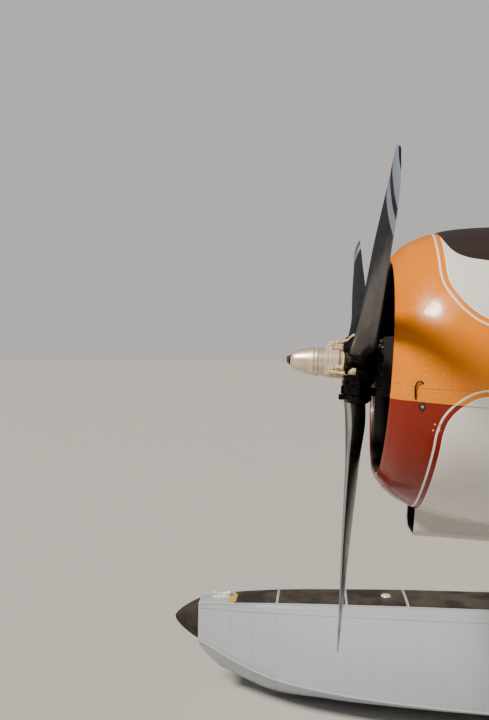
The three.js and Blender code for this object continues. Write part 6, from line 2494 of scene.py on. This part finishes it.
class AddInterior(bpy.types.Operator):
    """Adds the seats, instrument panel, control wheels and pedals. Cushions are pads puffed by a cloth
    simulation, and everything else is plates, tubes and turned forms"""

    bl_idname = "floatplane.add_interior"
    bl_label = "Cabin Interior"

    def execute(self, context):
        vinyl, frame_paint = seat_vinyl(), crankcase_enamel()
        for name, ((x0, x1), y) in SEATS.items():
            width, middle = x1 - x0, (x0 + x1) / 2
            seat, back = pad(width - 0.02, 0.425, 0.090, 0.012), pad(width - 0.02, 0.500, 0.070, 0.008)
            voxel = 0.009 if width < 0.6 else 0.012
            seat, back = puffed(seat, voxel, 0.010), puffed(back, voxel, 0.009)
            channels = [-width / 6, width / 6] if width < 0.6 else [-0.27, -0.09, 0.09, 0.27]
            seat, back = sewn(seat, channels), sewn(back, channels)
            lean = math.radians(8)
            up = np.array([0, math.sin(lean), math.cos(lean)])
            out = np.array([0, -math.cos(lean), math.sin(lean)])
            seat = Form(seat.points + [middle, y + 0.118, -0.072], seat.faces)
            back = Form(
                back.points @ np.array([[1, 0, 0], up, out]) + [middle, y + 0.344, 0.262], back.faces
            )
            shell_at = np.array([
                [y + 0.345, -0.1], [y + 0.372, -0.1], [y + 0.448, 0.5], [y + 0.446, 0.535],
                [y + 0.425, 0.53],
            ])
            rest = slab(eased(shell_at, 0.01, True), x0 + 0.015, x1 - 0.015, 0.004, "x")
            pan = slab(
                eased_box((y + 0.005, -0.15), (y + 0.32, -0.128), 0.008), x0 + 0.01, x1 - 0.01, 0.003, "x"
            )
            legs = []
            for x in (x0 + 0.05, x1 - 0.05):
                for start in (y + 0.03, y + 0.28):
                    legs.append(tube([[x, start, -0.145], [x, start, FLOOR_TOP + 0.001]], 0.013, 12, 0))
                legs.append(tube([
                    [x, y + 0.01, FLOOR_TOP + 0.014], [x, y + 0.3, FLOOR_TOP + 0.014]
                ], 0.012, 12, 0))
            frame_forms = [rest, pan, *legs]
            targets = [("", "port"), ("m", "starboard")] if name == "crew_seat" else [("", "")]
            for flip, side in targets:
                label = f"{name}_{side}" if side else name
                turn = mirrored if flip else list
                piece(
                    label + "_frame", turn(frame_forms), [frame_paint], "airframe", [label], "seat_cover",
                    40,
                )
                for part, form in (("cushion", seat), ("back", back)):
                    made = piece(
                        f"{label}_{part}", turn([form]), [vinyl], "airframe", [label], "seat_cover", 70
                    )

        outline = eased([
            [-0.568, 0.235], [0.568, 0.235], [0.568, 0.53], [0.48, 0.556], [-0.48, 0.556], [-0.568, 0.53]
        ], 0.02, True)
        board = slab(np.column_stack([outline[:, 1], outline[:, 0]]), 1.7512, PANEL_FACE, 0.003, "y")
        forms = [board]
        ways = facing([[0.0, 1, 0]], (1, 0, 0))
        dial = lathe([
            [0.0, -0.004], [0.036, -0.004], [0.0385, 0.0], [0.0385, 0.006], [0.034, 0.0075],
            [0.0325, 0.003], [0.0, 0.003],
        ], 36, "z", finish=1)
        face = lathe([[0.0, 0.002], [0.0318, 0.002], [0.0318, 0.0042], [0.0, 0.0042]], 36, "z", finish=2)
        for middle in (-0.315, 0.315):
            for column in (-1, 0, 1):
                for height in (0.350, 0.455):
                    spot = [[middle + column * 0.092, PANEL_FACE, height]]
                    angle = 0.9 * column + 4 * height
                    needle = slab([
                        [-0.0012, -0.006], [0.0012, -0.006], [0.0006, 0.024], [-0.0006, 0.024]
                    ], 0.0048, 0.0056, 0, "z", 3)
                    needle = Form(
                        needle.points @ np.array([
                            [math.cos(angle), math.sin(angle), 0], [-math.sin(angle), math.cos(angle), 0],
                            [0, 0, 1],
                        ]),
                        needle.faces, 3,
                    )
                    forms += [copies(form, spot, ways) for form in (dial, face, needle)]
        for x in (-0.050, 0.0, 0.050):
            forms.append(tube([[x, PANEL_FACE - 0.002, 0.42], [x, PANEL_FACE + 0.06, 0.428]], 0.004, 8, 3))
            forms.append(copies(
                lathe([
                    [0.0, -0.014], [0.011, -0.012], [0.015, 0.0], [0.011, 0.012], [0.0, 0.014]
                ], 16, "z", finish=1),
                [[x, PANEL_FACE + 0.064, 0.428]],
            ))
        piece(
            "panel", forms, [panel_paint(), inside_black(), dial_black(), cream_enamel()], "airframe",
            ["instrument_panel"], "black_moulding", 35,
        )

        wheel = curve([
            [-0.15, 0, 0.105], [-0.172, 0, 0.06], [-0.16, 0, 0.005], [-0.11, 0, -0.028], [0.0, 0, -0.032],
            [0.11, 0, -0.028], [0.16, 0, 0.005], [0.172, 0, 0.06], [0.15, 0, 0.105],
        ], 60)
        controls = []
        for x in (-0.315, 0.315):
            controls.append(tube([
                [x, PANEL_FACE - 0.002, 0.275], [x, PANEL_FACE + 0.12, 0.275]
            ], 0.014, 16, 1))
            controls.append(copies(tube(wheel, 0.0125, 14), [[x, PANEL_FACE + 0.120, 0.300]]))
            controls.append(copies(
                lathe([[0.0, -0.012], [0.034, -0.012], [0.038, 0.0], [0.03, 0.014], [0.0, 0.016]], 28),
                [[x, PANEL_FACE + 0.12, 0.272]],
            ))
            for off in (-0.085, 0.085):
                plate = slab(
                    rounded_box((x + off - 0.04, -0.3), (x + off + 0.04, -0.19), 0.012), 0, 0.01, 0.002,
                    "z", 1,
                )
                points = plate.points - [0, -0.30, 0]
                lean = math.radians(68)
                points = np.stack([
                    points[:, 0], 1.82 - points[:, 1] * math.cos(lean) + points[:, 2],
                    -0.33 + points[:, 1] * math.sin(lean),
                ], -1)
                controls.append(outward(points, plate.faces, 1))
                controls.append(tube([
                    [x + off, 1.8, FLOOR_TOP - 0.002], [x + off, 1.806, -0.33]
                ], 0.01, 10, 1))
        piece(
            "flight_controls", controls, [black_rubber(), crankcase_enamel()], "airframe",
            slot="black_moulding", crease=40,
        )
        return {"FINISHED"}


SKY_LIGHT, BACKDROP_LIGHT = 0.13, 1.03  # the sky's strength as a light, and as the camera sees it
FLOOR_REACH = 400.0


class SetStage(bpy.types.Operator):
    """Adds a pale flat floor, a soft sun as key, a weak one as fill, a low sky and the camera"""

    bl_idname = "floatplane.set_stage"
    bl_label = "Stage"

    def execute(self, context):
        made, _, shader, _ = begin("painted_backdrop", roughness=0.85)
        shader.inputs["Base Color"].default_value = tuple(paints().backdrop)
        across, along = np.meshgrid([-FLOOR_REACH, FLOOR_REACH], [-FLOOR_REACH, FLOOR_REACH], indexing="ij")
        mesh = bpy.data.meshes.new("floor")
        mesh.from_pydata(
            np.stack([across, along, 0 * across - 0.002], -1).reshape(-1, 3).tolist(), [], [(0, 2, 3, 1)]
        )
        mesh.materials.append(made)
        floor = bpy.data.objects.new("floor", mesh)
        context.scene.collection.objects.link(floor)

        # A low sky light for shapes, and the backdrop's colour where the camera looks past the floor.
        world = bpy.data.worlds.new("studio")
        world.use_nodes = True
        sky, background = world.node_tree, world.node_tree.nodes["Background"]
        seen = put(sky, "LightPath", out="Is Camera Ray")
        tone = put(
            sky, "Mix", {0: seen, 6: linear(0xDCE4EE), 7: tuple(paints().backdrop)}, out=2, data_type="RGBA"
        )
        strength = put(sky, "MapRange", {"Value": seen, "To Min": SKY_LIGHT, "To Max": BACKDROP_LIGHT})
        sky.links.new(tone, background.inputs["Color"])
        sky.links.new(strength, background.inputs["Strength"])
        context.scene.world = world
        # A soft key from the port side, ahead of the nose and above, and a weak broad fill from aft.
        lights = [
            ("key", "SUN", (0.47, -0.48, 0.74), 5.0, 0xFFF4E6, math.radians(13)),
            ("fill", "SUN", (0.75, 0.55, 0.36), 0.16, 0xE4ECFF, math.radians(60)),
        ]
        for name, kind, towards, power, code, width in lights:
            light = bpy.data.lights.new(name, kind)
            light.energy, light.color, light.angle = power, linear(code)[:3], width
            lamp = bpy.data.objects.new(name, light)
            lamp.location = 20 * mathutils.Vector(towards)
            lamp.rotation_euler = (-mathutils.Vector(towards)).to_track_quat("-Z", "Y").to_euler()
            context.scene.collection.objects.link(lamp)

        camera = bpy.data.cameras.new("camera")
        camera.sensor_width, camera.lens, camera.shift_y = 36.0, 33.65, -3 / 720
        viewer = bpy.data.objects.new("camera", camera)
        viewer.location = (3.00, -4.04, 2.248)
        viewer.rotation_euler = (math.radians(90), 0, math.radians(96.2))
        context.scene.collection.objects.link(viewer)
        context.scene.camera = viewer
        return {"FINISHED"}


class DressFrame(bpy.types.Operator):
    """Gives each piece of the frame its finish: enamel by its place on the body, and acrylic for glass. Those
    that no piece above stands for show it"""

    bl_idname = "floatplane.dress_frame"
    bl_label = "Frame Finishes"

    def execute(self, context):
        for name, node in frame["nodes"].items():
            finish = white_enamel()
            if name.startswith(("cabin_side", "crew_door", "cabin_door", "nose_section")):
                finish = body_enamel()
            if "glass" in name or "rear_window" in name:
                finish = window_acrylic()
            node.data.materials.clear()
            node.data.materials.append(finish)
        return {"FINISHED"}


OPERATORS = [
    AddBlades, AddHub, AddDome, AddCowl, AddScoop, AddEngine, AddNose, AddCabin, AddDoors, AddTail,
    AddTailSurfaces, AddWings, AddWingSurfaces, AddFloats, AddStruts, AddWaterRudders, AddInterior,
    DressFrame, SetStage,
]


class FloatplanePanel(bpy.types.Panel):
    """The sidebar's list of colours, sizes and pieces"""

    bl_idname = "VIEW3D_PT_floatplane"
    bl_label = "Floatplane"
    bl_space_type = "VIEW_3D"
    bl_region_type = "UI"
    bl_category = "Floatplane"

    def draw(self, context):
        for group in (context.scene.floatplane_colours, context.scene.floatplane_sizes):
            for name in group.bl_rna.properties.keys():
                if name not in ("rna_type", "name"):
                    self.layout.prop(group, name)
        for operator in OPERATORS:
            self.layout.operator(operator.bl_idname)


CLASSES = [FloatplaneColours, FloatplaneSizes, *OPERATORS, FloatplanePanel]


def register():
    """Registers the classes and hangs the sizes and colours on the scene."""
    for kind in CLASSES:
        bpy.utils.register_class(kind)
    bpy.types.Scene.floatplane_colours = bpy.props.PointerProperty(type=FloatplaneColours)
    bpy.types.Scene.floatplane_sizes = bpy.props.PointerProperty(type=FloatplaneSizes)


def unregister():
    """Takes them off again, last first."""
    del bpy.types.Scene.floatplane_colours, bpy.types.Scene.floatplane_sizes
    for kind in reversed(CLASSES):
        bpy.utils.unregister_class(kind)


def main():
    """Adds every piece in order."""
    register()
    for operator in OPERATORS:
        group, name = operator.bl_idname.split(".")
        getattr(getattr(bpy.ops, group), name)()


if __name__ == "__main__":
    main()
